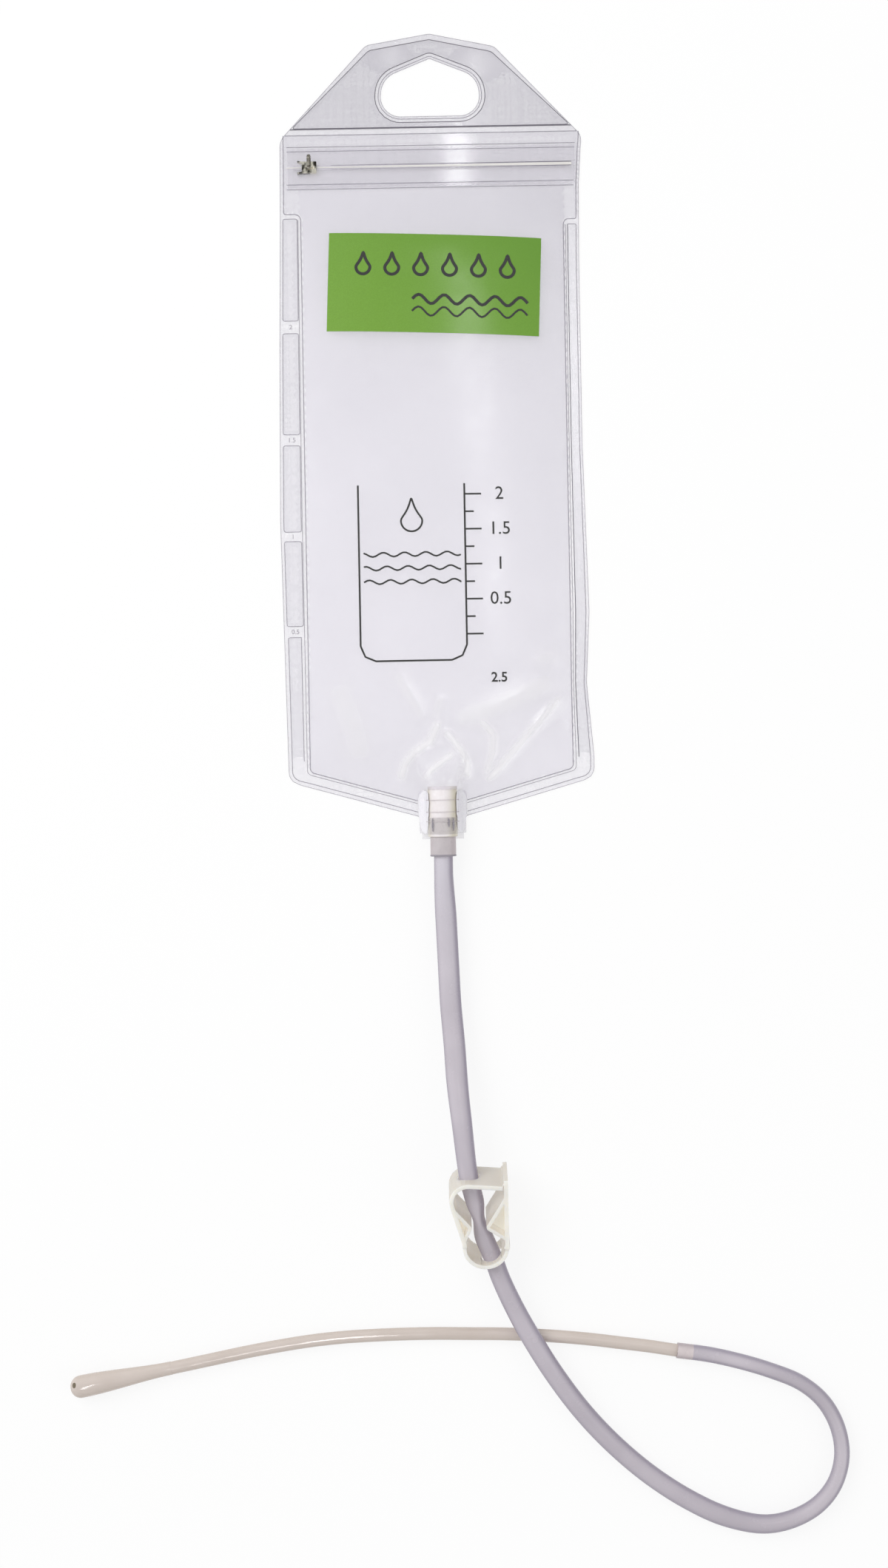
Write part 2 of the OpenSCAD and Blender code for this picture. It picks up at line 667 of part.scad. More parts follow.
module connector() {
  bore_r = nipple_r - connector_wall;
  waist_r = barrel_r * barrel_waist_share;
  color("#F1EEE6") down_port(y_barrel_top) rotate_extrude() polygon([
    [barrel_r - connector_wall, 0], [barrel_r, 0], [barrel_r, barrel_l * barrel_rim_share],
    [waist_r, barrel_l * barrel_rim_share], [waist_r, barrel_l * barrel_ring_place_share],
    [barrel_r, barrel_l * barrel_ring_place_share],
    [barrel_r, barrel_l * (barrel_ring_place_share + barrel_ring_share)],
    [waist_r, barrel_l * (barrel_ring_place_share + barrel_ring_share)],
    [hose_r, barrel_l], [nipple_r, barrel_l], [nipple_r, barrel_l + nipple_l - barb_rise],
    [nipple_r - barb_rise, barrel_l + nipple_l], [bore_r, barrel_l + nipple_l],
    [bore_r, barrel_l * (barrel_ring_place_share + barrel_ring_share)],
    [barrel_r - connector_wall - barb_rise, barrel_l * barrel_rim_share]
  ]);
}

module coupling_sleeve() {
  l = y_nipple - barb_rise - y_sleeve_end;
  color("#CFC6C8") down_port(y_nipple - barb_rise) difference() {
    cylinder(h = l, r = barrel_r);
    translate([0, 0, -cut]) cylinder(h = l + 2 * cut, r = hose_r + push_gap);
  }
}

// The hose and the probe

function squeeze_at(p) = let (s = exp(-(norm(p - pinch_point) / pinch_reach) ^ 2))
  [1 - (1 - pinch) * s, 1 + pinch_bulge_share * s];

module hose() { color("#CFC8D3") tube(hose_route, hose_r, hose_bore_r, [for (p = hose_route) squeeze_at(p)]); }

module probe_tube() { color("#E3D9CF") tube(probe_route, probe_r, probe_bore_r, [for (p = probe_route) [1, 1]]); }

module probe_bulb() {
  socket_r = probe_r + push_gap;
  color("#DFD4C9") aimed(bulb_from, bulb_to) rotate_extrude() polygon(concat(
    [[socket_r, 0], [socket_r + bulb_skin, 0]],
    rounded_path([
      [socket_r + bulb_skin, 0, 0], [bulb_r, bulb_taper_l, bulb_r],
      [bulb_r, bulb_all_l, bulb_r - bulb_mouth_r], [bulb_outlet_r, bulb_all_l, 0]
    ]),
    [[bulb_outlet_r, bulb_all_l], [probe_bore_r, bulb_taper_l], [probe_bore_r, bulb_socket_l], [socket_r, bulb_socket_l]]
  ));
}

// The clamp, drawn in its own plane: u to the right, v up the hose, w towards the front

function clamp_point(p) = [
  clamp_at.x + p.x,
  clamp_at.y + p.y * cos(clamp_tilt) - p.z * sin(clamp_tilt),
  clamp_z + p.y * sin(clamp_tilt) + p.z * cos(clamp_tilt)
];

module at_clamp() { translate([clamp_at.x, clamp_at.y, clamp_z]) rotate([clamp_tilt, 0, 0]) children(); }
module clamp_slab() { translate([0, 0, -clamp_depth / 2]) linear_extrude(clamp_depth) children(); }

jaw_half = jaw_gap / 2 + jaw_t / 2;
left_tip = [jaw_u - jaw_half + jaw_setback_shares[0] * jaw_tip_r, jaw_v, jaw_tip_r];
right_tip = [jaw_u + jaw_half - jaw_setback_shares[1] * jaw_tip_r, jaw_v, jaw_tip_r];
frame_path = rounded_path([
  [-loop_r, 0, 0], [-loop_r, arm_t, arm_t], [-shoulder_u, strap_v, shoulder_r],
  [strap_end_u, strap_v - strap_fall, 0]
]);
// Middle of the left arm at height v
function left_arm_u(v) = -loop_r - (shoulder_u - loop_r) * (v - arm_t) / (strap_v - arm_t);
// Middle of the right arm at height v, from its foot at the loop's end to the latch
function right_arm_u(v) = loop_r + (latch_u - loop_r) * v / latch_v;

// A rib that runs from the arm out to the jaw's round tip and back to the arm
module jaw(tip, arm_high, arm_low) { polygon(strip(rounded_path([arm_high, tip, arm_low]), jaw_t)); }

// The web that closes the hollow between a jaw and its arm
module jaw_web(tip, arm_high, arm_low) {
  translate([0, 0, clamp_depth / 2 - hollow_depth - web_t]) linear_extrude(web_t)
    polygon([flat(arm_high), flat(between(tip, between(arm_high, arm_low, 1 / 2), web_tip_share)), flat(arm_low)]);
}

module clamp_frame() {
  high = left_jaw_shares[0] * jaw_v;
  low = left_jaw_shares[1] * jaw_v;
  aim_to = [-7, 28];
  color("#ECEBE4") at_clamp() difference() {
    union() {
      clamp_slab() {
        polygon(strip(frame_path, arm_t));
        jaw(left_tip, [left_arm_u(high), high, 0], [left_arm_u(low), low, 0]);
      }
      jaw_web(left_tip, [left_arm_u(high), high, 0], [left_arm_u(low), low, 0]);
    }
    translate([strap_hole_uv.x, strap_hole_uv.y, 0])
      rotate([90, 0, atan2(aim_to.x - strap_hole_uv.x, strap_hole_uv.y - aim_to.y)])
        translate([0, 0, -hose_hole_r - cut]) cylinder(h = 2 * (hose_hole_r + cut), r = hose_hole_r);
  }
}

module clamp_loop() {
  reach = loop_r + loop_t;
  lean = atan2(loop_hole_uv.x, -loop_hole_uv.y);
  color("#E6E5DE") at_clamp() difference() {
    translate([0, 0, -clamp_depth / 2]) cylinder(h = clamp_depth, r = loop_r + loop_t / 2);
    translate([0, 0, -clamp_depth / 2 - cut]) cylinder(h = clamp_depth + 2 * cut, r = loop_r - loop_t / 2);
    block([-reach, 0, -clamp_depth], [reach, reach, clamp_depth]);
    translate([loop_r, 0, -clamp_depth]) cylinder(h = 2 * clamp_depth, r = foot_r + running_gap);
    rotate([90, 0, lean]) {
      for (w = [-loop_slot_half, loop_slot_half]) translate([0, w, 0])
        cylinder(h = reach + cut, r = hose_hole_r);
      block([-hose_hole_r, -loop_slot_half, 0], [hose_hole_r, loop_slot_half, reach + cut]);
    }
  }
}

module clamp_latch_arm() {
  high = right_jaw_shares[0] * jaw_v;
  low = right_jaw_shares[1] * jaw_v;
  barb_v = strap_v - strap_fall + arm_t / 2 + 2 * slide_gap;
  color("#EDECE6") at_clamp() {
    translate([loop_r, 0, -clamp_depth / 2]) cylinder(h = clamp_depth, r = foot_r);
    clamp_slab() {
      polygon(strip([[loop_r, 0], [latch_u, latch_v]], arm_t));
      jaw(right_tip, [right_arm_u(high), high, 0], [right_arm_u(low), low, 0]);
      polygon([
        [latch_u - arm_t / 2 - barb_w, barb_v], [latch_u, barb_v], [latch_u + arm_t / 2, barb_v + barb_h],
        [latch_u, barb_v + barb_h]
      ]);
    }
    jaw_web(right_tip, [right_arm_u(high), high, 0], [right_arm_u(low), low, 0]);
  }
}

// The printed panel, which follows the swelling of the film

module label_panel() {
  top_y = y_rail - label_drop;
  rows = [for (j = [0:label_rows]) [for (i = [0:label_columns]) let (
    x = label_w * (i / label_columns - 0.5), y = top_y - label_h * (1 - j / label_rows)
  ) [x, y, film_height(x, y) + film_t + label_gap]]];
  color("#7BA83C") sheet([for (r = rows) [for (p = r) p + [0, 0, label_t]]], rows);
}

back_film();
handle_film();
chamber_film();
handle_weld();
chamber_weld();
zip_rail_upper();
zip_rail_lower();
zip_end_stops();
slider_body();
slider_pull();
port_tube();
port_collar();
connector();
coupling_sleeve();
hose();
clamp_frame();
clamp_loop();
clamp_latch_arm();
probe_tube();
probe_bulb();
label_panel();
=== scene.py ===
"""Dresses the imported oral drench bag: films, welds, zip, port, hose, clamp, probe and print."""

import logging
import math
from dataclasses import dataclass
from enum import Enum
from typing import Callable

import bpy
import numpy as np
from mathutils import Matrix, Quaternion, Vector, noise
from mathutils.geometry import delaunay_2d_cdt
from mathutils.kdtree import KDTree


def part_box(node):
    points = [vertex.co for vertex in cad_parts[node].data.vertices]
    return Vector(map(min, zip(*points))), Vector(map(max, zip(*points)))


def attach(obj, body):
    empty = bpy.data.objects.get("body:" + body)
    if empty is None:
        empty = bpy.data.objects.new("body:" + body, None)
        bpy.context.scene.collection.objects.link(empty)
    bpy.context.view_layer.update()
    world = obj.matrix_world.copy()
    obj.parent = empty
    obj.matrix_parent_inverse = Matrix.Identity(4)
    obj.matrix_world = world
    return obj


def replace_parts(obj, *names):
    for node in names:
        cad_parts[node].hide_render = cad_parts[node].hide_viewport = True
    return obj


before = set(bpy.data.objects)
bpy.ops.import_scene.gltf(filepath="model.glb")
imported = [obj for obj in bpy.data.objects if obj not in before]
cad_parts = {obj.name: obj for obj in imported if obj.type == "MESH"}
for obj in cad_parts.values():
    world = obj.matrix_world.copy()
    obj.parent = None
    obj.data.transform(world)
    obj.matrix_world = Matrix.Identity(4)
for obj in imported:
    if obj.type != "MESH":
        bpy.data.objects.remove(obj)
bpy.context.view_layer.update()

LOG = logging.getLogger("drench_bag")
MM = 0.001
ACROSS, ALONG, UP = Vector((1.0, 0.0, 0.0)), Vector((0.0, 1.0, 0.0)), Vector((0.0, 0.0, 1.0))
BAG_BODY = "bag"
CLAMP_NODES = ("clamp_frame", "clamp_loop", "clamp_latch_arm")

# The range that a cloud of noise hardly leaves, which is spread over the whole of a pattern.
CLOUD_RANGE = (0.3, 0.7)
# The mesh attribute that holds how much painted highlight a film takes along its folds.
CREASE = "crease"
# The way to the light that a tube's lit top faces, and the cosines over which its sides go to painted shade.
LIT_AXIS, PAINTED_SHADE_RANGE = (-0.24, 0.2, 0.95), (0.35, 0.98)
# The way to the bag's upper right, along which the films and the label darken in a painted shade, and how
# slowly a fade sets in along it.
FADE_AXIS, FADE_POWER = (0.6, 0.8, 0.0), 2.0
# How near the walls of a hollow are, in mm, and how open a deep and a shallow one is, for the painted glow.
HOLLOW, HOLLOW_RANGE, HOLLOW_SAMPLES = 22.0, (0.1, 0.7), 8
# The share of the light that soaks in, and how far its red, green and blue go.
SOAK, SOAK_REACH = 0.9, (1.0, 0.9, 0.75)

Point2 = tuple[float, float]
Corner = tuple[float, float, float]
Mesh = tuple[list[Vector], list[tuple[int, ...]]]


class Slot(Enum):
    """The record's material slots, which nothing here reads."""

    FILM = "film"
    WELD = "weld"
    ZIP = "zip"
    PORT = "port"
    COLLAR = "collar"
    SLEEVE = "sleeve"
    HOSE = "hose"
    PROBE = "probe"
    LABEL = "label"


# ---------------------------------------------------------------- finishes


def linear(colour: str) -> tuple[float, float, float, float]:
    """Turns an sRGB hex value into linear light.

    Args:
        colour: six hex digits after a hash.

    Returns:
        Red, green, blue and an alpha of one.
    """
    parts = [int(colour[i:i + 2], 16) / 255 for i in (1, 3, 5)]
    red, green, blue = (p / 12.92 if p <= 0.04045 else ((p + 0.055) / 1.055) ** 2.4 for p in parts)
    return red, green, blue, 1.0


def add_node(tree: bpy.types.NodeTree, kind: str, inputs: dict, **settings: object) -> bpy.types.Node:
    """Adds one node with its settings and links.

    Args:
        tree: the tree that takes the node.
        kind: the node's type name.
        inputs: socket name or index to a value, or to the output that feeds it.
        settings: the node's own properties.

    Returns:
        The new node.
    """
    node = tree.nodes.new(kind)
    for key, value in settings.items():
        setattr(node, key, value)
    for key, value in inputs.items():
        if isinstance(value, bpy.types.NodeSocket):
            tree.links.new(value, node.inputs[key])
        else:
            node.inputs[key].default_value = value
    return node


@dataclass(frozen=True)
class Pattern:
    """A cloudy pattern of a finish.

    size is the width of one patch in mm, stretch draws it out along x, y and z, and strength is
    how far it moves what it feeds: a share of the shade, of the roughness, or a height in mm.
    """

    size: float
    strength: float
    stretch: Corner = (1.0, 1.0, 1.0)

    def cloud(self, tree: bpy.types.NodeTree) -> bpy.types.NodeSocket:
        """Adds the pattern's noise to a tree.

        Args:
            tree: the material's tree.

        Returns:
            The output that runs from 0 to 1.
        """
        place = add_node(tree, "ShaderNodeTexCoord", {}).outputs["Object"]
        scale = tuple(1 / (self.size * MM * s) for s in self.stretch)
        mapped = add_node(tree, "ShaderNodeMapping", {"Vector": place, "Scale": scale})
        return add_node(tree, "ShaderNodeTexNoise", {
            "Vector": mapped.outputs[0], "Scale": 1.0, "Detail": 3.0, "Roughness": 0.55,
        }).outputs[0]


@dataclass(frozen=True)
class Finish:
    """A real material and how its surface was made.

    rim is the colour of a painted shade on its sides, where they turn from the light, depth is how far light
    soaks in, in mm, and crest is the colour and the alpha of a painted highlight that it takes along a
    crease.
    glow is a faint painted light of its own in hollows, which stands in for light that soaks through. fade is
    the colour that it takes between two distances along FADE_AXIS, in mm: a painted shade where light falls
    off across the bag on the films and the label, and a paler stretch below the port on the hose.
    """

    name: str
    colour: str
    shade: str
    roughness: float
    mottle: Pattern
    gloss_break: Pattern
    relief: Pattern
    ior: float = 1.5
    specular: float = 0.5
    metallic: float = 0.0
    alpha: float = 1.0
    rim: str = ""
    depth: float = 0.0
    crest: tuple[str, float] | None = None
    glow: float = 0.0
    fade: tuple[str, float, float] | None = None

    def make(self) -> bpy.types.Material:
        """Builds the material, or finds the one that was built.

        Returns:
            The material.
        """
        found = bpy.data.materials.get(self.name)
        if found:
            return found
        made = bpy.data.materials.new(self.name)
        made.use_nodes = True
        tree = made.node_tree
        shader = tree.nodes["Principled BSDF"]
        fixed = {
            "IOR": self.ior, "Metallic": self.metallic, "Alpha": self.alpha,
            "Specular IOR Level": self.specular, "Subsurface Weight": SOAK if self.depth else 0.0,
            "Subsurface Scale": self.depth * MM, "Subsurface Radius": SOAK_REACH,
        }
        for socket, value in fixed.items():
            shader.inputs[socket].default_value = value
        body = self.tinted(tree)
        # A painted highlight along the crest of a fold: a paler colour and a denser alpha.
        if self.crest:
            crease = add_node(tree, "ShaderNodeAttribute", {}, attribute_name=CREASE).outputs["Fac"]
            body = add_node(tree, "ShaderNodeMix", {
                0: crease, 6: body, 7: linear(self.crest[0])}, data_type="RGBA").outputs[2]
            cover = add_node(tree, "ShaderNodeMapRange", {
                "Value": crease, "To Min": self.alpha, "To Max": self.crest[1]})
            tree.links.new(cover.outputs[0], shader.inputs["Alpha"])
        tree.links.new(body, shader.inputs["Base Color"])
        # A faint painted glow, in the shade colour, that brightens hollows.
        if self.glow:
            hollow = add_node(tree, "ShaderNodeAmbientOcclusion", {
                "Distance": HOLLOW * MM}, samples=HOLLOW_SAMPLES)
            painted_glow = add_node(tree, "ShaderNodeMapRange", {
                "Value": hollow.outputs["AO"], "From Min": HOLLOW_RANGE[0], "From Max": HOLLOW_RANGE[1],
                "To Min": self.glow, "To Max": 0.0})
            shader.inputs["Emission Color"].default_value = linear(self.shade)
            tree.links.new(painted_glow.outputs[0], shader.inputs["Emission Strength"])
        rough = add_node(tree, "ShaderNodeMapRange", {
            "Value": self.gloss_break.cloud(tree), "From Min": CLOUD_RANGE[0], "From Max": CLOUD_RANGE[1],
            "To Min": self.roughness * (1 - self.gloss_break.strength),
            "To Max": self.roughness * (1 + self.gloss_break.strength),
        })
        tree.links.new(rough.outputs[0], shader.inputs["Roughness"])
        bump = add_node(tree, "ShaderNodeBump", {
            "Height": self.relief.cloud(tree), "Strength": 1.0, "Distance": self.relief.strength * MM,
        })
        tree.links.new(bump.outputs[0], shader.inputs["Normal"])
        return made

    def tinted(self, tree: bpy.types.NodeTree) -> bpy.types.NodeSocket:
        """Adds the finish's mottled colour, with its fade and the painted shade of its sides.

        Args:
            tree: the material's tree.

        Returns:
            The output with the colour.
        """
        spread = self.mottle.strength / 2
        patches = add_node(tree, "ShaderNodeMapRange", {
            "Value": self.mottle.cloud(tree), "From Min": CLOUD_RANGE[0], "From Max": CLOUD_RANGE[1],
            "To Min": 0.5 - spread, "To Max": 0.5 + spread,
        })
        body = add_node(tree, "ShaderNodeMix", {
            0: patches.outputs[0], 6: linear(self.colour), 7: linear(self.shade),
        }, data_type="RGBA").outputs[2]
        # A fade along FADE_AXIS: a painted shade on the films and the label, a paler stretch of the hose.
        if self.fade:
            colour, start, end = self.fade
            place = add_node(tree, "ShaderNodeTexCoord", {}).outputs["Object"]
            along = add_node(tree, "ShaderNodeVectorMath", {0: place, 1: FADE_AXIS}, operation="DOT_PRODUCT")
            close = add_node(tree, "ShaderNodeMapRange", {
                "Value": along.outputs["Value"], "From Min": start * MM, "From Max": end * MM})
            slow = add_node(tree, "ShaderNodeMath", {0: close.outputs[0], 1: FADE_POWER}, operation="POWER")
            body = add_node(tree, "ShaderNodeMix", {
                0: slow.outputs[0], 6: body, 7: linear(colour)}, data_type="RGBA").outputs[2]
        # Painted shade: faces that turn from the light take the rim colour.
        if self.rim:
            normal = add_node(tree, "ShaderNodeTexCoord", {}).outputs["Normal"]
            lean = add_node(tree, "ShaderNodeVectorMath", {0: normal, 1: LIT_AXIS}, operation="DOT_PRODUCT")
            lit_share = add_node(tree, "ShaderNodeMapRange", {
                "Value": lean.outputs["Value"], "From Min": PAINTED_SHADE_RANGE[0], "From Max": PAINTED_SHADE_RANGE[1],
            }, interpolation_type="SMOOTHSTEP")
            body = add_node(tree, "ShaderNodeMix", {
                0: lit_share.outputs[0], 6: linear(self.rim), 7: body}, data_type="RGBA").outputs[2]
        return body


# Soft PVC film, calendered between polished rolls: clear with a cool violet haze and a wet gloss. Along
# the crest of a fold it takes a painted highlight, paler and denser, and it greys to the bag's upper right
# in a painted shade where the light falls off. The alpha of each of its faces thins the gloss too, so its
# IOR and specular level stand above PVC's 1.53.
CHAMBER_FILM = Finish(
    "soft_pvc_film_calendered", "#EEE9F6", "#E4DFED", 0.2, Pattern(60, 0.8), Pattern(25, 0.3),
    Pattern(14, 0.004), ior=1.9, specular=1.0, alpha=0.19, crest=("#FFFEFF", 0.38),
    fade=("#B9B3C5", -150.0, 175.0))
# The same film drawn flat over the zip: two sheets that touch, so the haze is denser and the gloss is
# like glass.
MOUTH_FILM = Finish(
    "soft_pvc_film_at_zip", "#CEC8D8", "#C3BDCE", 0.06, Pattern(40, 0.8), Pattern(20, 0.3),
    Pattern(30, 0.003), ior=1.9, specular=1.0, alpha=0.19)
# The same film pressed close to its backing in the sealed side pockets: a shade denser.
POCKET_FILM = Finish(
    # It darkens towards the bag's upper right in a painted shade.
    "soft_pvc_film_in_pocket", "#CFCADA", "#C5C0D1", 0.12, Pattern(30, 0.4), Pattern(12, 0.3),
    Pattern(14, 0.003), ior=1.9, specular=1.0, alpha=0.15, fade=("#ABA5B8", -60.0, 175.0))
# The same film stretched in the handle: two sheets that lie close, so the haze is denser and greyer.
# Its folds take a painted highlight along their crests.
HANDLE_FILM = Finish(
    "soft_pvc_film_in_handle", "#A8A1B5", "#918A9F", 0.1, Pattern(40, 0.9), Pattern(20, 0.3),
    Pattern(14, 0.004), ior=1.9, specular=1.0, alpha=0.2, crest=("#F4F2F8", 0.26))
# PVC film fused by a radio-frequency die: the sheets become one, paler and flatter than the film round it.
# It greys towards the bag's upper right in a painted shade.
WELDED_FILM = Finish(
    "pvc_film_die_welded", "#FAF8FD", "#F1EEF8", 0.12, Pattern(12, 0.8), Pattern(6, 0.3),
    Pattern(6, 0.003), ior=1.9, specular=1.0, alpha=0.11, fade=("#CFCAD8", -60.0, 175.0))
# PVC squeezed out along the edge of the die: a clear thread that gathers grey like the rim of a lens.
WELD_BEAD = Finish(
    "pvc_weld_bead", "#A29EAA", "#8E8A96", 0.18, Pattern(14, 0.9), Pattern(4, 0.3),
    Pattern(2, 0.01), ior=1.53, alpha=0.5)
# The same bead drawn darker and denser on a few weld lines, and as the painted shadow along the zip's rail.
DARK_BEAD = Finish(
    "pvc_weld_bead_dark", "#7C7883", "#6B6772", 0.18, Pattern(14, 0.9), Pattern(4, 0.3),
    Pattern(2, 0.01), ior=1.53, alpha=0.78)
# Soft PVC extruded through a die: milky, satin, with faint lines along the run.
ZIP_PVC = Finish(
    "extruded_pvc_zip", "#DEDAE5", "#D2CEDA", 0.06, Pattern(5, 0.7, (30.0, 1.0, 1.0)), Pattern(4, 0.3),
    Pattern(0.8, 0.002, (40.0, 1.0, 1.0)), ior=1.7, specular=0.8, alpha=0.2)
# A white line along the middle of the zip's rail, where the two halves catch: a painted highlight, milky.
RAIL_HIGHLIGHT = Finish(
    "extruded_pvc_zip_highlight", "#F6F4EF", "#EDEAE4", 0.2, Pattern(9, 0.8, (8.0, 1.0, 1.0)), Pattern(4, 0.3),
    Pattern(0.8, 0.004, (40.0, 1.0, 1.0)), ior=1.53, alpha=0.6)
# Zinc die casting, nickel plated and polished: it mirrors a room in hard bright and dark patches. The plain
# white room here has nothing dark to mirror, so those patches of about 4 mm are in its colour.
NICKEL = Finish(
    "nickel_plated_zinc", "#F7F3E4", "#3C3933", 0.14, Pattern(7, 2.6, (0.6, 1.0, 1.0)), Pattern(2, 0.4),
    Pattern(4, 0.05), metallic=1.0)
# The same plating on the thin pull, less polished: its dark grey with a few bright spots is a painted
# reflection too.
PULL_NICKEL = Finish(
    "nickel_plated_zinc_pull", "#C9C4B8", "#57534B", 0.25, Pattern(2.5, 1.6), Pattern(2, 0.4),
    Pattern(2, 0.03), metallic=1.0)
# PVC tube, extruded thick, round a pale connector: pinkish white where that shows through, and cream at
# its sides in a painted shade.
PORT_PVC = Finish(
    "extruded_pvc_port_tube", "#F3EEF0", "#EAE3E4", 0.22, Pattern(5, 0.8), Pattern(3, 0.3),
    Pattern(1.5, 0.01), ior=1.53, rim="#D6CFBD")
# The same tube where only the hose end is behind it: greyer, and clear enough to show streaks.
PORT_SHADE = Finish(
    "extruded_pvc_port_tube_end", "#C9C5C5", "#AFAAAB", 0.22, Pattern(5, 0.9, (1.0, 3.0, 1.0)),
    Pattern(3, 0.3), Pattern(1.5, 0.005), ior=1.53, alpha=0.2)
# PVC film welded with a gritty die: fine pits scatter the light, so it is frosted white. The real grit
# of about 0.2 mm is drawn at 0.7 mm to show.
FROSTED_PVC = Finish(
    "pvc_film_frosted_weld", "#FBFAFD", "#EFEDF4", 0.5, Pattern(0.7, 1.0), Pattern(0.7, 0.3),
    Pattern(0.7, 0.05), ior=1.53, alpha=0.95)
# Polyethylene, injection moulded: waxy off-white.
POLYETHYLENE = Finish(
    "moulded_polyethylene", "#ECE8E0", "#E0DACF", 0.4, Pattern(5, 0.7), Pattern(2, 0.2),
    Pattern(0.5, 0.006), ior=1.51)
# Soft PVC sleeve, dip moulded: a pinkish grey that lets a little light through.
# Its sides take a painted shade.
SLEEVE_PVC = Finish(
    "dipped_pvc_sleeve", "#C8C1C4", "#BCB5B8", 0.35, Pattern(6, 0.8), Pattern(3, 0.3),
    Pattern(1.2, 0.01), ior=1.53, rim="#BBB1B4")
# Soft clear PVC hose, extruded: a violet-grey body, smooth outside, with slow clouds from plasticiser. Its
# sides are darker in a painted shade, which also stands for the wall seen edgewise, and a faint painted glow
# lights its shaded parts. It is paler below the port.
HOSE_PVC = Finish(
    "extruded_pvc_hose", "#CAC3CB", "#B3ACB5", 0.24, Pattern(70, 1.0), Pattern(12, 0.3),
    Pattern(8, 0.003), ior=1.53, rim="#968E9E", glow=0.2, fade=("#CFCBD4", -325.0, -215.0))
# The same hose over the end of the probe, which shows through it: pinker and paler.
# Its sides take the same painted shade.
HOSE_OVER_PROBE = Finish(
    "extruded_pvc_hose_over_probe", "#D8CECF", "#CEC3C4", 0.24, Pattern(8, 0.8), Pattern(6, 0.3),
    Pattern(8, 0.003), ior=1.53, rim="#B0A4A8")
# Acetal, injection moulded in a spark-eroded tool: ivory, dense and satin, with a very fine grain, and light
# soaks into it. Its sides take a painted shade and its hollows a faint painted glow. The real grain of about
# 0.1 mm is drawn at 0.4 mm to show.
ACETAL = Finish(
    "moulded_acetal", "#F1EFE8", "#E8E5DC", 0.4, Pattern(9, 0.8), Pattern(2, 0.2),
    Pattern(0.4, 0.004), ior=1.48, rim="#D2CDC5", depth=6.0, glow=0.26)
# Flexible PVC, extruded and hot-formed: cream, silky, a little see-through.
# Its sides take a painted shade.
PROBE_PVC = Finish(
    "flexible_cream_pvc", "#D3C8C1", "#C9BDB5", 0.11, Pattern(30, 0.8), Pattern(9, 0.3),
    Pattern(6, 0.003), ior=1.53, rim="#C8BBB1")
# The shaded bore of the probe's tip.
BORE_PVC = Finish(
    "cream_pvc_in_shade", "#7C725F", "#655B49", 0.5, Pattern(2, 0.8), Pattern(2, 0.2),
    Pattern(1, 0.01), ior=1.53)
# Green ink, screen printed on PVC: even and satin, with the screen's grain of about 0.3 mm drawn at 0.9 mm.
# It darkens towards the bag's upper right in a painted shade.
GREEN_INK = Finish(
    "screen_printed_green_ink", "#7AA83C", "#6F9A35", 0.16, Pattern(0.9, 0.8), Pattern(8, 0.2),
    Pattern(0.9, 0.002), ior=1.6, fade=("#5F8F2C", -60.0, 175.0))
# Black ink, screen printed: soft black with worn, greyer specks.
BLACK_INK = Finish(
    "screen_printed_black_ink", "#2B2B2B", "#3A3A38", 0.4, Pattern(1.2, 0.8), Pattern(2, 0.2),
    Pattern(0.8, 0.006), ior=1.5)


# ---------------------------------------------------------------- lines and meshes


def rounded(corners: list[Corner], steps: int = 7, closed: bool = True) -> list[Point2]:
    """Rounds the corners of an outline or a line.

    Args:
        corners: x, y and radius of each corner, in mm.
        steps: points on each round.
        closed: whether the last corner joins the first.

    Returns:
        The line's points.
    """
    line: list[Point2] = []
    for i, (x, y, radius) in enumerate(corners):
        if radius <= 0 or (not closed and i in (0, len(corners) - 1)):
            line.append((x, y))
            continue
        here = Vector((x, y))
        back = (Vector(corners[i - 1][:2]) - here).normalized()
        ahead = (Vector(corners[(i + 1) % len(corners)][:2]) - here).normalized()
        half = back.angle(ahead) / 2
        start, end = here + back * radius / math.tan(half), here + ahead * radius / math.tan(half)
        centre = here + (back + ahead).normalized() * radius / math.sin(half)
        for k in range(steps + 1):
            arm = (start - centre).lerp(end - centre, k / steps).normalized() * radius
            line.append((centre.x + arm.x, centre.y + arm.y))
    return line


def inset(corners: list[Corner], gap: float, turn: float = -1.0, least: float = 0.6) -> list[Corner]:
    """Moves a closed outline inwards, or outwards where gap is below zero.

    Args:
        corners: x, y and radius of each corner, anticlockwise.
        gap: the distance.
        turn: how much of the gap each radius gains, below zero where it loses.
        least: the smallest radius that is left.

    Returns:
        The moved corners.
    """
    moved: list[Corner] = []
    for i, (x, y, radius) in enumerate(corners):
        here = Vector((x, y))
        into = (here - Vector(corners[i - 1][:2])).normalized()
        out = (Vector(corners[(i + 1) % len(corners)][:2]) - here).normalized()
        left_in, left_out = Vector((-into.y, into.x)), Vector((-out.y, out.x))
        step = (left_in + left_out) / (1 + left_in.dot(left_out)) * gap
        moved.append((x + step.x, y + step.y, max(radius + turn * gap, least)))
    return moved


def spaced(line: list[Point2], step: float, closed: bool) -> list[Point2]:
    """Adds points so that no stretch of a line is longer than step.

    Args:
        line: the points.
        step: the longest stretch, in mm.
        closed: whether the last point joins the first.

    Returns:
        The denser line.
    """
    dense: list[Point2] = []
    ends = line[1:] + line[:1] if closed else line[1:]
    for (ax, ay), (bx, by) in zip(line, ends):
        count = max(1, math.ceil(math.hypot(bx - ax, by - ay) / step))
        dense += [(ax + (bx - ax) * k / count, ay + (by - ay) * k / count) for k in range(count)]
    return dense if closed else dense + [line[-1]]


def inside(points: np.ndarray, loop: list[Point2]) -> np.ndarray:
    """Tells which points lie inside a closed outline.

    Args:
        points: an n by 2 array.
        loop: the outline.

    Returns:
        One truth value per point.
    """
    hits = np.zeros(len(points), bool)
    x, y = points[:, 0], points[:, 1]
    for (ax, ay), (bx, by) in zip(loop, loop[1:] + loop[:1]):
        if ay != by:
            crosses = (ay > y) != (by > y)
            hits ^= crosses & (x < (bx - ax) * (y - ay) / (by - ay) + ax)
    return hits


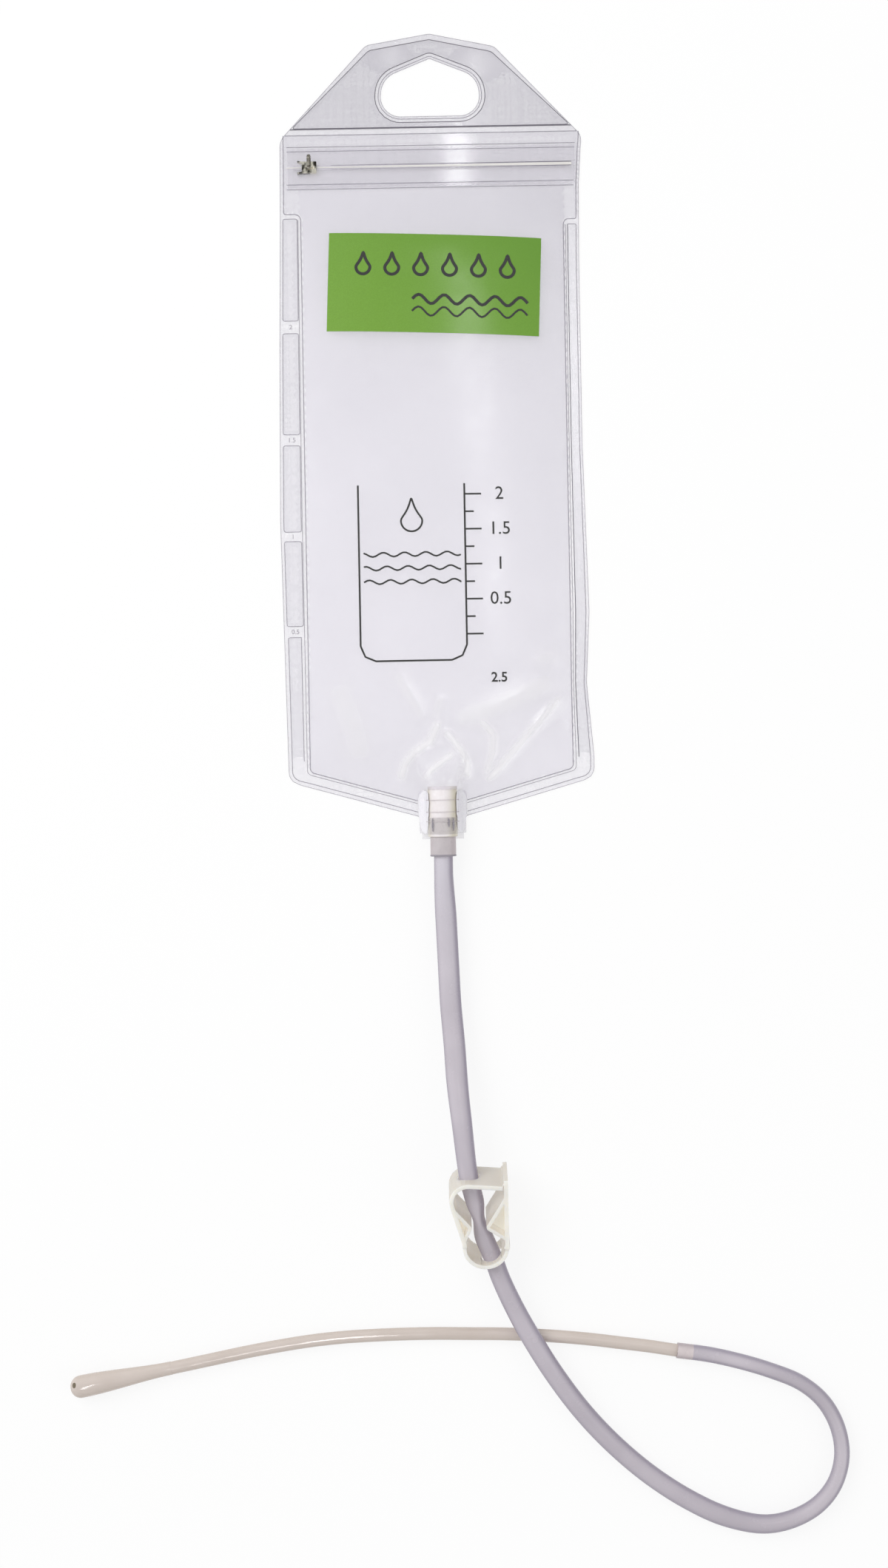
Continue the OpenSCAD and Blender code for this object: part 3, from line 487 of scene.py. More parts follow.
def away(x: np.ndarray, y: np.ndarray, line: list[Point2]) -> tuple[np.ndarray, np.ndarray]:
    """Measures how far points lie from an open line.

    Args:
        x: the points' x.
        y: the points' y.
        line: the line's points.

    Returns:
        Each point's distance, and the share of the line at its nearest place.
    """
    best, share = np.full(np.shape(x), 1e9), np.zeros(np.shape(x))
    for k, ((ax, ay), (bx, by)) in enumerate(zip(line, line[1:])):
        along = (x - ax) * (bx - ax) + (y - ay) * (by - ay)
        run = np.clip(along / ((bx - ax) ** 2 + (by - ay) ** 2), 0, 1)
        gap = np.hypot(x - ax - run * (bx - ax), y - ay - run * (by - ay))
        share = np.where(gap < best, (k + run) / (len(line) - 1), share)
        best = np.minimum(best, gap)
    return best, share


def flowing(route: list[Corner], steps: int) -> list[Vector]:
    """Runs a smooth curve through a route, with tighter spacing where its points are closer.

    Args:
        route: the points, in mm.
        steps: points on each stretch.

    Returns:
        The curve's points.
    """
    points = [Vector(p) for p in route]
    points = [2 * points[0] - points[1]] + points + [2 * points[-1] - points[-2]]
    curve: list[Vector] = []
    for a, b, c, d in zip(points, points[1:], points[2:], points[3:]):
        knots = [0.0]
        for start, end in ((a, b), (b, c), (c, d)):
            knots.append(knots[-1] + math.sqrt((end - start).length))
        for k in range(steps):
            at = knots[1] + (knots[2] - knots[1]) * k / steps
            level = [a, b, c, d]
            for reach in (1, 2):
                for i in range(4 - reach):
                    low, high = knots[i], knots[i + reach]
                    level[i] = level[i].lerp(level[i + 1], (at - low) / (high - low))
            low, high = knots[1], knots[2]
            curve.append(level[0].lerp(level[1], (at - low) / (high - low)))
    return curve + [points[-2].copy()]


def length_of(line: list[Vector]) -> float:
    """Adds up the stretches of a line."""
    return sum((b - a).length for a, b in zip(line, line[1:]))


def frames(line: list[Vector], closed: bool = False) -> list[tuple[Vector, Vector]]:
    """Finds the level and the upright direction across each point of a line.

    Args:
        line: the points.
        closed: whether the last point joins the first.

    Returns:
        Two directions per point.
    """
    made = []
    for i, spot in enumerate(line):
        back = line[i - 1] if closed or i else spot
        ahead = line[(i + 1) % len(line)] if closed or i + 1 < len(line) else spot
        run = (ahead - back).normalized()
        side = run.cross(UP).normalized()
        made.append((side, side.cross(run)))
    return made


def ring(centre: Vector, side: Vector, lift: Vector, count: int) -> list[Vector]:
    """Sets points round a centre, on the ellipse that has these two half axes."""
    turns = (2 * math.pi * k / count for k in range(count))
    return [centre + side * math.cos(t) + lift * math.sin(t) for t in turns]


def arch(margin: float, steps: int) -> list[Vector]:
    """Gives directions over a tube along y, from margin degrees above its right to the same at its left."""
    turns = [math.radians(margin + (180 - 2 * margin) * k / steps) for k in range(steps + 1)]
    return [Vector((math.cos(t), 0.0, math.sin(t))) for t in turns]


def slab(spot: Vector, half: Vector, low: float, high: float) -> list[Vector]:
    """Gives the four corners of a flat section, half to each side of a spot and from low to high over it."""
    return [spot - half + UP * low, spot - half + UP * high, spot + half + UP * high, spot + half + UP * low]


def skin(rings: list[list[Vector]], loop: bool, capped: bool = False) -> Mesh:
    """Joins rings of points into a skin.

    Args:
        rings: rings of the same count of points.
        loop: whether the last ring joins the first.
        capped: whether both ends are closed.

    Returns:
        The points and the faces.
    """
    count = len(rings[0])
    points = [p for ring in rings for p in ring]
    faces: list[tuple[int, ...]] = []
    for r in range(len(rings) if loop else len(rings) - 1):
        low, high = r * count, ((r + 1) % len(rings)) * count
        faces += [(low + k, low + (k + 1) % count, high + (k + 1) % count, high + k) for k in range(count)]
    if capped:
        faces += [tuple(reversed(range(count))), tuple(range(len(points) - count, len(points)))]
    return points, faces


def merged(meshes: list[Mesh]) -> Mesh:
    """Puts several meshes into one.

    Args:
        meshes: the meshes.

    Returns:
        The one mesh.
    """
    points: list[Vector] = []
    faces: list[tuple[int, ...]] = []
    for some, joined in meshes:
        faces += [tuple(i + len(points) for i in f) for f in joined]
        points += some
    return points, faces


def tube(line: list[Vector], radii: Point2, ovals: list[Point2], sides: int) -> Mesh:
    """Runs a hollow tube along a line.

    Args:
        line: the points of its middle.
        radii: its outside and inside radius.
        ovals: how many times as wide and as high it is at each point.
        sides: points round it.

    Returns:
        The tube's mesh.
    """
    sections = list(zip(line, frames(line), ovals))
    outer, inner = ([ring(spot, side * wide * radius, lift * high * radius, sides)
                     for spot, (side, lift), (wide, high) in sections] for radius in radii)
    return skin(outer + inner[::-1], True)


def piece(name: str, mesh: Mesh, finishes: list[Finish], sharp: float = 40.0) -> bpy.types.Object:
    """Makes one piece, dresses it and puts it on the bag's body.

    Args:
        name: the piece's name.
        mesh: points in mm, and faces.
        finishes: the finishes, in the order of the faces' material numbers.
        sharp: edges that turn more than this many degrees stay crisp.

    Returns:
        The new object.
    """
    points, faces = mesh
    made = bpy.data.meshes.new(name)
    made.from_pydata([tuple(p * MM) for p in points], [], faces)
    for finish in finishes:
        made.materials.append(finish.make())
    made.shade_smooth()
    made.set_sharp_from_angle(angle=math.radians(sharp))
    obj = bpy.data.objects.new(name, made)
    bpy.context.scene.collection.objects.link(obj)
    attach(obj, BAG_BODY)
    LOG.info("%s: %d faces", name, len(faces))
    return obj


def dress(node: str, finish: Finish, bevel: float, steps: int = 3) -> None:
    """Gives a CAD node its finish, and softens its edges.

    Args:
        node: the node's name.
        finish: its finish.
        bevel: the width of the softened edge in mm.
        steps: faces across that edge.
    """
    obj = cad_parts[node]
    obj.data.materials.clear()
    obj.data.materials.append(finish.make())
    weld = obj.modifiers.new("joined_corners", "WELD")
    weld.merge_threshold = 0.002 * MM
    edge = obj.modifiers.new("softened_edges", "BEVEL")
    edge.width, edge.segments, edge.limit_method = bevel * MM, steps, "ANGLE"
    edge.angle_limit, edge.harden_normals = math.radians(35), True
    LOG.info("%s: dressed in %s", node, finish.name)


# ---------------------------------------------------------------- stage


@dataclass(frozen=True)
class Lamp:
    """A soft lamp: its place, size and aim in mm, and its watts.

    turn spins it about its beam, in degrees, and mirrored says whether gloss shows it. kept_to names the
    only pieces that it shines on, and it shows in their gloss alone.
    """

    name: str
    place: Corner
    size: Point2
    watts: float
    aim: Corner
    turn: float = 0.0
    mirrored: bool = True
    kept_to: tuple[str, ...] = ()

    def hang(self) -> None:
        """Adds the lamp to the scene."""
        lamp = bpy.data.lights.new(self.name, "AREA")
        lamp.shape, lamp.energy = "RECTANGLE", self.watts
        lamp.size, lamp.size_y = self.size[0] * MM, self.size[1] * MM
        obj = bpy.data.objects.new(self.name, lamp)
        obj.location = Vector(self.place) * MM
        obj.visible_glossy = self.mirrored
        if self.kept_to:
            obj.visible_diffuse = False
            group = bpy.data.collections.new(self.name)
            for name in self.kept_to:
                group.objects.link(bpy.data.objects[name])
            obj.light_linking.receiver_collection = group
        facing = (Vector(self.place) - Vector(self.aim)).to_track_quat("Z", "Y")
        obj.rotation_euler = (facing @ Quaternion(UP, math.radians(self.turn))).to_euler()
        bpy.context.scene.collection.objects.link(obj)


@dataclass
class Stage:
    """The camera, the pale floor and the soft studio light.

    floor_half is in metres and the other sizes are in mm. floor_white is the share of the floor that the
    lens sees as plain white, and ceiling is how bright gloss shows the room above ceiling_from, a range of
    its height.
    """

    camera_at: Corner = (1.2, -224.5, 1600.0)
    camera_turn: float = -1.03
    lens: float = 55.5
    film_layers: int = 32
    floor_half: float = 3.0
    floor_drop: float = 0.3
    floor_white: float = 0.84
    world_light: float = 0.6
    ceiling: float = 0.5
    ceiling_from: Point2 = (0.45, 0.85)
    lamps: tuple[Lamp, ...] = (
        Lamp("key_light", (-1500.0, 900.0, 2100.0), (2000.0, 2000.0), 40.0, (0.0, -150.0, 0.0),
             mirrored=False),
        Lamp("fill_light", (2000.0, -1300.0, 1700.0), (2200.0, 2200.0), 12.0, (0.0, -250.0, 0.0)),
        Lamp("zip_strip", (40.0, 775.0, 2200.0), (38.0, 190.0), 0.15, (40.0, 775.0, 0.0)),
        Lamp("chamber_strip", (280.0, 350.0, 2200.0), (210.0, 720.0), 1.25, (280.0, 350.0, 0.0), 26.0),
        Lamp("probe_strip", (-195.0, -900.0, 2200.0), (110.0, 1000.0), 6.4, (-195.0, -900.0, 0.0),
             kept_to=("probe_flexible",)),
        Lamp("bulb_strip", (-424.0, -930.0, 2200.0), (70.0, 1000.0), 4.6, (-424.0, -930.0, 0.0),
             kept_to=("bulb_tip",)),
    )

    def build(self) -> None:
        """Sets the stage."""
        scene = bpy.context.scene
        scene.view_settings.view_transform = "Standard"
        scene.cycles.transparent_max_bounces = self.film_layers
        eye = bpy.data.cameras.new("camera")
        eye.lens = self.lens
        camera = bpy.data.objects.new("camera", eye)
        camera.location = Vector(self.camera_at) * MM
        camera.rotation_euler = (0.0, 0.0, math.radians(self.camera_turn))
        scene.collection.objects.link(camera)
        scene.camera = camera
        self.floor()
        self.light()

    def floor(self) -> None:
        """Lays the white floor, which keeps the object's shadow."""
        corners = [(x * self.floor_half, y * self.floor_half, -self.floor_drop * MM)
                   for x, y in ((-1, -1), (1, -1), (1, 1), (-1, 1))]
        mesh = bpy.data.meshes.new("floor")
        mesh.from_pydata(corners, [], [(0, 1, 2, 3)])
        floor = bpy.data.objects.new("floor", mesh)
        bpy.context.scene.collection.objects.link(floor)
        paper = bpy.data.materials.new("white_paper_sweep")
        paper.use_nodes = True
        tree = paper.node_tree
        tree.nodes.clear()
        # Paper that the lens sees mostly as white, with a part left to the lamps for the shadow.
        matt = add_node(tree, "ShaderNodeBsdfDiffuse", {"Color": linear("#F8F8F8")})
        white = add_node(tree, "ShaderNodeEmission", {"Color": linear("#FFFFFF"), "Strength": 1.0})
        part = add_node(tree, "ShaderNodeMath", {
            0: self.seen(tree), 1: self.floor_white}, operation="MULTIPLY")
        mix = add_node(tree, "ShaderNodeMixShader", {
            0: part.outputs[0], 1: matt.outputs[0], 2: white.outputs[0]})
        add_node(tree, "ShaderNodeOutputMaterial", {"Surface": mix.outputs[0]})
        mesh.materials.append(paper)

    @staticmethod
    def seen(tree: bpy.types.NodeTree) -> bpy.types.NodeSocket:
        """Adds a mask of the rays that look: camera, glossy and transmission rays.

        Args:
            tree: the tree that takes the mask.

        Returns:
            The output that is 1 for those rays.
        """
        path = add_node(tree, "ShaderNodeLightPath", {})
        both = add_node(tree, "ShaderNodeMath", {
            0: path.outputs["Is Camera Ray"], 1: path.outputs["Is Glossy Ray"]}, operation="MAXIMUM")
        return add_node(tree, "ShaderNodeMath", {
            0: both.outputs[0], 1: path.outputs["Is Transmission Ray"]}, operation="MAXIMUM").outputs[0]

    def light(self) -> None:
        """Hangs the lamps in a white room."""
        world = bpy.data.worlds.new("white_room")
        bpy.context.scene.world = world
        world.use_nodes = True
        tree = world.node_tree
        tree.nodes.clear()
        # Walls that shine white, under a ceiling that is dim where glossy surfaces mirror it.
        place = add_node(tree, "ShaderNodeTexCoord", {}).outputs["Generated"]
        height = add_node(tree, "ShaderNodeSeparateXYZ", {0: place}).outputs[2]
        mirrored = add_node(tree, "ShaderNodeMapRange", {
            "Value": height, "From Min": self.ceiling_from[0], "From Max": self.ceiling_from[1],
            "To Min": 1.0, "To Max": self.ceiling})
        glow = add_node(tree, "ShaderNodeMix", {
            0: self.seen(tree), 2: self.world_light, 3: mirrored.outputs[0]}, data_type="FLOAT")
        room = add_node(tree, "ShaderNodeBackground", {
            "Color": linear("#FFFFFF"), "Strength": glow.outputs[0]})
        add_node(tree, "ShaderNodeOutputWorld", {"Surface": room.outputs[0]})
        for lamp in self.lamps:
            lamp.hang()


# ---------------------------------------------------------------- bag


def ramp(depth: np.ndarray, reach: float) -> np.ndarray:
    """Rises from 0 towards 1 with depth."""
    return 1 - np.exp(-np.maximum(depth, 0) / reach)


@dataclass
class Fold:
    """A fold in the front film: its line, height, half width, share of painted highlight and the fade of its
    ends.
    """

    line: list[Point2]
    height: float
    half: float
    white: float = 0.5
    fade: float = 0.2

    def lift(self, x: np.ndarray, y: np.ndarray) -> np.ndarray:
        """Gives the fold's height at points of the film, in mm."""
        return self.height * self.share(x, y, self.half)

    def share(self, x: np.ndarray, y: np.ndarray, half: float) -> np.ndarray:
        """Gives how much of the fold is at points of the film.

        Args:
            x: the points' x.
            y: the points' y.
            half: the half width that counts, in mm.

        Returns:
            1 on the fold's line, down to 0 away from it and at its ends.
        """
        gap, along = away(x, y, self.line)
        ends = np.clip(np.minimum(along, 1 - along) / self.fade, 0, 1)
        return np.exp(-(gap / half) ** 2) * ends * ends * (3 - 2 * ends)


class Region(Enum):
    """What a patch of the front film is, by the number of its finish."""

    WELD = 0
    CHAMBER = 1
    HANDLE = 2
    POCKET = 3
    MOUTH = 4


@dataclass
class Bag:
    """The two films of the bag with their welds, in mm.

    A corner is its x, y and radius. pockets are the left, right, low and high edges of the short side
    pockets, long_pockets the side and the high edge of the long ones, and the waves are how far the bag's
    left and right edge stand off at a height.
    """

    half_w: float = 100.0
    chamber_half: float = 86.0
    chamber_gap: float = 0.9
    film_t: float = 0.4
    swell_h: float = 10.0
    swell_ramp: float = 20.0
    swell_round: Point2 = (2.5, 0.75)
    drift_h: float = 0.5
    drift_size: Point2 = (52.0, 75.0)
    drift_slice: float = 3.1
    flat_y: float = 171.0
    mouth_half: float = 97.0
    tip_y: float = -246.0
    corner_y: float = -222.0
    corner_r: float = 9.0
    tab_half: float = 15.45
    tab_gap: float = 1.0
    calm_y: float = -228.0
    calm_reach: Point2 = (8.0, 6.0)
    tab_end_y: float = -257.0
    corner_end_y: float = -260.8
    corner_half: float = 13.8
    bottom_y: float = -206.0
    cut_edge_w: float = 0.34
    cut_edge_h: float = 0.05
    bottom_weld: float = 10.4
    rim_weld: float = 3.0
    base_y: float = 210.0
    base_band: float = 4.0
    base_inset: Point2 = (7.0, 3.5)
    left_step_y: float = 154.0
    right_step_y: float = 148.0
    zip_lines: tuple[float, ...] = (198.2, 195.3, 173.4, 170.2)
    port_z: float = 10.05
    collar_r: float = 10.15
    port_ramp: float = 26.0
    port_spread: float = 1.2
    port_from: float = -224.0
    port_ease: float = 8.0
    port_bell: float = 1.05
    grip_half: float = 92.0
    grip_gap: float = 3.8
    ring_gap: float = 3.9
    hole_gap: float = 1.7
    side_gap: float = 2.3
    channel_gap: float = 1.8
    pocket_r: float = 1.2
    heel_x: float = 60.0
    bead_h: float = 0.25
    bead_foot: float = 0.12
    bead_step: float = 2.5
    crest_wide: float = 1.1
    rim_step: float = 3.0
    grid: float = 3.4
    grid_rows: float = 0.87
    grid_clear: float = 0.42
    fine_grid: float = 1.3
    fine_box: tuple[Point2, Point2] = ((-36.0, -258.0), (56.0, -158.0))
    handle: tuple[Corner, ...] = (
        (100.0, 203.0, 12.0), (43.0, 263.0, 8.0), (0.0, 272.0, 6.0), (-42.0, 265.0, 8.0),
        (-100.0, 203.0, 12.0))
    hole: tuple[Corner, ...] = (
        (-34.0, 217.5, 13.0), (34.0, 217.5, 13.0), (31.3, 243.0, 15.0), (0.0, 255.5, 3.0),
        (-31.3, 243.0, 15.0))
    pockets: tuple[tuple[float, float, float, float], ...] = (
        (-98.2, -89.2, 83.5, 151.0), (-98.2, -89.2, 8.3, 75.2), (-98.2, -89.2, -56.1, 1.0),
        (-98.2, -89.2, -118.6, -62.4))
    long_pockets: tuple[Point2, ...] = ((-1.0, -125.9), (1.0, 144.5))
    folds: tuple[Fold, ...] = (
        Fold([(-25.8, -226.0), (-26.5, -218.0), (-24.1, -210.8), (-17.7, -203.0), (-7.6, -196.5),
              (-4.6, -190.5), (-2.8, -186.5), (3.0, -184.5)], 1.3, 3.6, 0.9, 0.14),
        Fold([(0.5, -187.3), (8.0, -196.0), (13.4, -203.5), (16.8, -211.4), (16.6, -226.0)],
             1.2, 3.0, 0.9, 0.14),
        Fold([(-13.4, -224.5), (-7.4, -215.6), (3.0, -208.0), (10.9, -202.5)], 0.9, 2.8, 0.9),
        Fold([(13.0, -212.0), (10.6, -220.0), (10.6, -227.0)], 0.6, 2.2, 0.6),
        Fold([(18.7, -183.0), (27.7, -184.8), (34.2, -192.1), (34.0, -203.1), (30.8, -214.1), (27.0, -227.0)],
             0.9, 3.6, 0.8),
        Fold([(26.6, -226.6), (47.7, -203.2), (84.0, -163.4)], 1.1, 3.4, 0.9, 0.12),
        Fold([(3.3, -184.9), (35.8, -173.9), (84.0, -153.5)], 1.1, 7.5, 0.7),
        Fold([(-8.0, -185.5), (-32.2, -145.7)], 0.8, 5.0, 0.5),
        Fold([(-4.4, -184.0), (0.5, -164.0)], 0.6, 4.0, 0.5),
        Fold([(-72.0, -150.0), (-58.0, -185.0), (-52.0, -214.0)], 0.7, 10.0, 0.6),
        Fold([(56.0, -148.0), (84.0, -137.0)], 0.5, 6.0, 0.5, 0.4),
        # The handle's folds are nearly flat: they bring it painted highlights.
        Fold([(-19.0, 266.0), (-25.0, 258.0), (-29.0, 246.0)], 0.06, 6.0, 0.5, 0.4),
        Fold([(24.0, 265.0), (32.0, 254.0), (38.0, 240.0)], 0.06, 7.0, 0.6, 0.4),
        Fold([(18.0, 215.0), (18.0, 205.0)], 0.05, 5.0, 0.6, 0.4),
    )
    left_wave: tuple[Point2, ...] = (
        (-222.0, -1.2), (-140.0, -2.5), (-49.0, -4.0), (60.0, -2.5), (150.0, -0.6), (195.0, 0.0),
        (203.0, 0.0))
    right_wave: tuple[Point2, ...] = (
        (-222.0, 0.8), (-208.0, 1.0), (-159.0, -3.2), (-112.0, -0.6), (0.0, -3.3), (120.0, -3.3),
        (171.0, -2.6), (195.0, -1.0), (203.0, 0.0))

    def sides(self, tab: bool) -> list[Corner]:
        """Gives the corners of a sheet, anticlockwise.

        Args:
            tab: whether the sheet runs under the port, with small square corners below it, or stops at its
                sides.

        Returns:
            The corners.
        """
        half, end, near = self.tab_half, self.tab_end_y, self.corner_half
        if tab:
            right = [(near, self.corner_end_y, 0.4), (near, end, 0.0), (half, end, 0.8)]
        else:
            right = [(self.collar_r, self.calm_y, 0.6), (self.collar_r, end, 0.0), (half, end, 1.5)]
        right += [(half, self.tip_y, 2.0), (self.half_w, self.corner_y, self.corner_r)]
        left = [(-x, y, radius) for x, y, radius in right[::-1]]
        return left[1:] + right + list(self.handle) + left[:1]

    def waved(self, line: list[Point2]) -> list[Point2]:
        """Lets a line follow the waves of the bag's long edges.

        Args:
            line: the points of the straight bag.

        Returns:
            The moved points.
        """
        moved = []
        for x, y in line:
            wave = self.right_wave if x > 0 else self.left_wave
            shift = float(np.interp(y, *zip(*wave), left=0.0, right=0.0))
            share = min(max((abs(x) - self.chamber_half) / (self.half_w - self.chamber_half), 0.0), 1.0)
            moved.append((x + shift * share, y))
        return moved

    def weld_low(self, x: np.ndarray | float) -> np.ndarray | float:
        """Gives the chamber's lower weld line at x."""
        slope = (self.corner_y - self.tip_y) / (self.half_w - self.tab_half)
        return self.tip_y + (np.maximum(np.abs(x), self.tab_half) - self.tab_half) * slope + self.bottom_weld

    def rim_low(self, x: float) -> float:
        """Gives the lower weld line of the bag's rim at x."""
        return float(self.weld_low(x) - self.bottom_weld + self.rim_weld)

    def hump(self, x: np.ndarray, y: np.ndarray) -> np.ndarray:
        """Gives how high the front film climbs over the port.

        Args:
            x: the points' x, in mm.
            y: the points' y, in mm.

        Returns:
            The heights in mm.
        """
        past = np.maximum(y - self.port_from, 0)
        wide = (self.collar_r + 0.02) * (1 + self.port_spread * past / self.port_ramp)
        across = np.abs(x) / wide
        edge = np.where(np.abs(x) <= self.tab_half, 1.0, ramp(y - self.weld_low(x), self.port_ramp))
        crown = self.port_z - self.film_t + self.collar_r * np.sqrt(np.maximum(1 - across ** 2, 0))
        bell = (self.port_z - self.film_t + self.collar_r) * np.exp(-(across / self.port_bell) ** 4)
        eased = np.clip(past / self.port_ease, 0, 1)
        shape = (np.where(across < 1, crown, 0.0) * (1 - eased) + bell * eased) * edge
        return shape * np.exp(-(past / self.port_ramp) ** 2)

    def lift(self, x: np.ndarray, y: np.ndarray) -> np.ndarray:
        """Gives the height of the front film's underside.

        Args:
            x: the points' x, in mm.
            y: the points' y, in mm.

        Returns:
            The heights in mm.
        """
        x, y = np.asarray(x, float), np.asarray(y, float)
        share = np.minimum(np.abs(x) / self.chamber_half, 1.0)
        deep = y - self.weld_low(x)
        room = ramp(deep, self.swell_ramp) * ramp(self.flat_y - y, self.swell_ramp)
        swell = self.swell_h * (1 - share ** self.swell_round[0]) ** self.swell_round[1] * room
        above, within = self.calm_reach
        calm = np.clip((y - self.calm_y) / above, 0, 1) * ramp(deep, within) * (share < 1)
        folds = sum(fold.lift(x, y) for fold in self.folds)
        wide, long = self.drift_size
        drift = np.array([noise.noise(Vector((a / wide, b / long, self.drift_slice)))
                          for a, b in zip(x.flat, y.flat)]).reshape(x.shape)
        body = (swell ** 4 + self.hump(x, y) ** 4) ** 0.25
        return self.film_t + body + calm * folds + self.drift_h * drift * room * (1 - share)

    def top(self, line: list[Point2], above: float) -> list[Vector]:
        """Lifts a line onto the front film.

        Args:
            line: the points.
            above: the height over the film, in mm.

        Returns:
            The points in space.
        """
        spots = np.array(line)
        heights = self.lift(spots[:, 0], spots[:, 1]) + self.film_t + above
        return [Vector((x, y, z)) for (x, y), z in zip(line, heights)]

    def chamber_line(self, side: float, gap: float, top_y: float) -> list[Corner]:
        """Gives the weld line from the zip's end of the bag to the port, on one side.

        Args:
            side: -1 for the left one, 1 for the right one.
            gap: how far outside the chamber's own line it runs.
            top_y: where it starts.

        Returns:
            The line's corners.
        """
        wall, out = self.chamber_half + self.chamber_gap + gap, self.half_w - self.side_gap
        step = (self.left_step_y if side < 0 else self.right_step_y) - gap
        near = self.tab_half + self.tab_gap
        low, tip = (float(self.weld_low(x)) - gap for x in (wall, near))
        return [(side * out, top_y, 0.0), (side * out, step, 1.6), (side * wall, step, 4.0),
                (side * wall, low, 3.5), (side * near, tip, 0.0)]

    def channel_line(self, side: float, top_y: float) -> list[Corner]:
        """Gives the outer weld line of a long side pocket, which runs on to the port.

        Args:
            side: -1 for the left one, 1 for the right one.
            top_y: where the pocket starts.

        Returns:
            The line's corners.
        """
        wall = self.chamber_half + self.chamber_gap + 2 * self.channel_gap
        out, near = self.half_w - self.side_gap, self.tab_half + self.tab_gap
        return [(side * wall, top_y, 0.0), (side * out, top_y, 1.2), (side * out, self.rim_low(out), 6.5),
                (side * near, self.rim_low(near), 0.0)]

    def loops(self) -> dict[str, list[Point2]]:
        """Gives the closed lines that part the front film into regions.

        Returns:
            The loops by name.
        """
        top, base = self.base_y - self.base_band, self.base_y + 0.5
        left, right = (self.chamber_line(side, 0.0, top) for side in (-1.0, 1.0))
        slope = inset(self.handle, self.grip_gap, -0.4)
        grip = [(-self.grip_half, base, 0.8), (self.grip_half, base, 0.8), *slope[1:4]]
        mouth = [(-self.mouth_half, self.flat_y, 0.0), (self.mouth_half, self.flat_y, 0.0),
                 (self.mouth_half, top - 0.3, 0.0), (-self.mouth_half, top - 0.3, 0.0)]
        made = {"chamber": rounded(left + right[::-1]), "grip": rounded(grip),
                "ring": rounded(inset(self.hole, -self.ring_gap)), "mouth": rounded(mouth)}
        for k, (west, east, low_y, high_y) in enumerate(self.pockets):
            box = ((west, low_y), (east, low_y), (east, high_y), (west, high_y))
            made[f"pocket_{k}"] = rounded([(*corner, self.pocket_r) for corner in box], 3)
        for side, high_y in self.long_pockets:
            start, *outer = self.channel_line(side, high_y)[:3]
            heel = side * self.heel_x
            low, heel_low = (float(self.weld_low(x)) - 2 * self.channel_gap for x in (start[0], heel))
            bounds = [(*start[:2], self.pocket_r), *outer, (heel, self.rim_low(heel), 0.5),
                      (heel, heel_low, 0.5), (start[0], low, 3.0)]
            name = f"pocket_long_{'left' if side < 0 else 'right'}"
            made[name] = rounded(bounds if side < 0 else bounds[::-1], 4)
        return made

    def painted_highlights(self, x: np.ndarray, y: np.ndarray) -> np.ndarray:
        """Gives how much painted highlight the front film takes along its folds, from 0 to 1."""
        marks = [fold.white * fold.share(x, y, self.crest_wide * fold.half) for fold in self.folds]
        return np.clip(np.max(marks, axis=0), 0, 1) * np.clip((y - self.calm_y) / self.calm_reach[1], 0, 1)

    @staticmethod
    def level(x: np.ndarray, y: np.ndarray) -> np.ndarray:
        """Gives the height and the painted highlight of a sheet that lies flat."""
        return np.zeros(len(x))

    def net(self, rims: list[list[Point2]], lines: list[list[Point2]], fine: bool) -> list[Point2]:
        """Spreads points between a sheet's lines.

        Args:
            rims: the outline, then the hole.
            lines: closed lines that the mesh follows.
            fine: whether the folded part gets a finer net.

        Returns:
            The points, clear of the lines.
        """
        on_lines = [spot for loop in rims + lines for spot in loop]
        near = KDTree(len(on_lines))
        for k, (x, y) in enumerate(on_lines):
            near.insert((x, y, 0.0), k)
        near.balance()
        low, high = np.min(rims[0], axis=0), np.max(rims[0], axis=0)
        nets = [(low, high, self.grid)] + ([(*self.fine_box, self.fine_grid)] if fine else [])
        spots: list[Point2] = []
        for start, end, step in nets:
            coarse = fine and step == self.grid
            ys = np.arange(start[1] + step / 2, end[1], step * self.grid_rows)
            xs = np.arange(start[0], end[0], step)
            spread = [(x + (k % 2) * step / 2, y) for k, y in enumerate(ys) for x in xs]
            held = inside(np.array(spread), rims[0]) & ~inside(np.array(spread), rims[1])
            for (x, y), keep in zip(spread, held):
                boxed = coarse and all(a - 1 < v < b + 1 for v, a, b in zip((x, y), *self.fine_box))
                if keep and not boxed and near.find((x, y, 0.0))[2] > self.grid_clear * step:
                    spots.append((x, y))
        return spots

    def sheet(self, name: str, rims: list[list[Point2]], lines: list[list[Point2]], height: Callable,
              regions: Callable, creases: Callable, finishes: list[Finish], fine: bool) -> bpy.types.Object:
        """Builds one film as a thin sheet.

        Args:
            name: the piece's name.
            rims: the outline, then the hole.
            lines: closed lines that the mesh follows.
            height: gives the underside's height at x and y.
            regions: gives each face's finish number from the faces' middles.
            creases: gives how much painted highlight the film takes at x and y.
            finishes: the finishes.
            fine: whether the folded part gets a finer mesh.

        Returns:
            The new object.
        """
        spots: list[Point2] = []
        edges: list[tuple[int, int]] = []
        for loop in rims + lines:
            first = len(spots)
            spots += loop
            edges += [(first + k, first + (k + 1) % len(loop)) for k in range(len(loop))]
        spots += self.net(rims, lines, fine)
        flat, _, faces = delaunay_2d_cdt([Vector(s) for s in spots], edges, [], 0, 1e-4)[:3]
        plane = np.array([tuple(v) for v in flat])
        middles = np.array([plane[list(f)].mean(0) for f in faces])
        kept = inside(middles, rims[0]) & ~inside(middles, rims[1])
        faces = [tuple(f) for f, k in zip(faces, kept) if k]
        x, y = plane[:, 0], plane[:, 1]
        points = [Vector(p) for p in zip(x, y, height(x, y))]
        obj = piece(name, (points, faces), finishes, sharp=60)
        mesh = obj.data
        mesh.polygons.foreach_set("material_index", regions(middles[kept]))
        uses: dict[tuple[int, int], int] = {}
        for polygon in mesh.polygons:
            for key in polygon.edge_keys:
                uses[key] = uses.get(key, 0) + 1
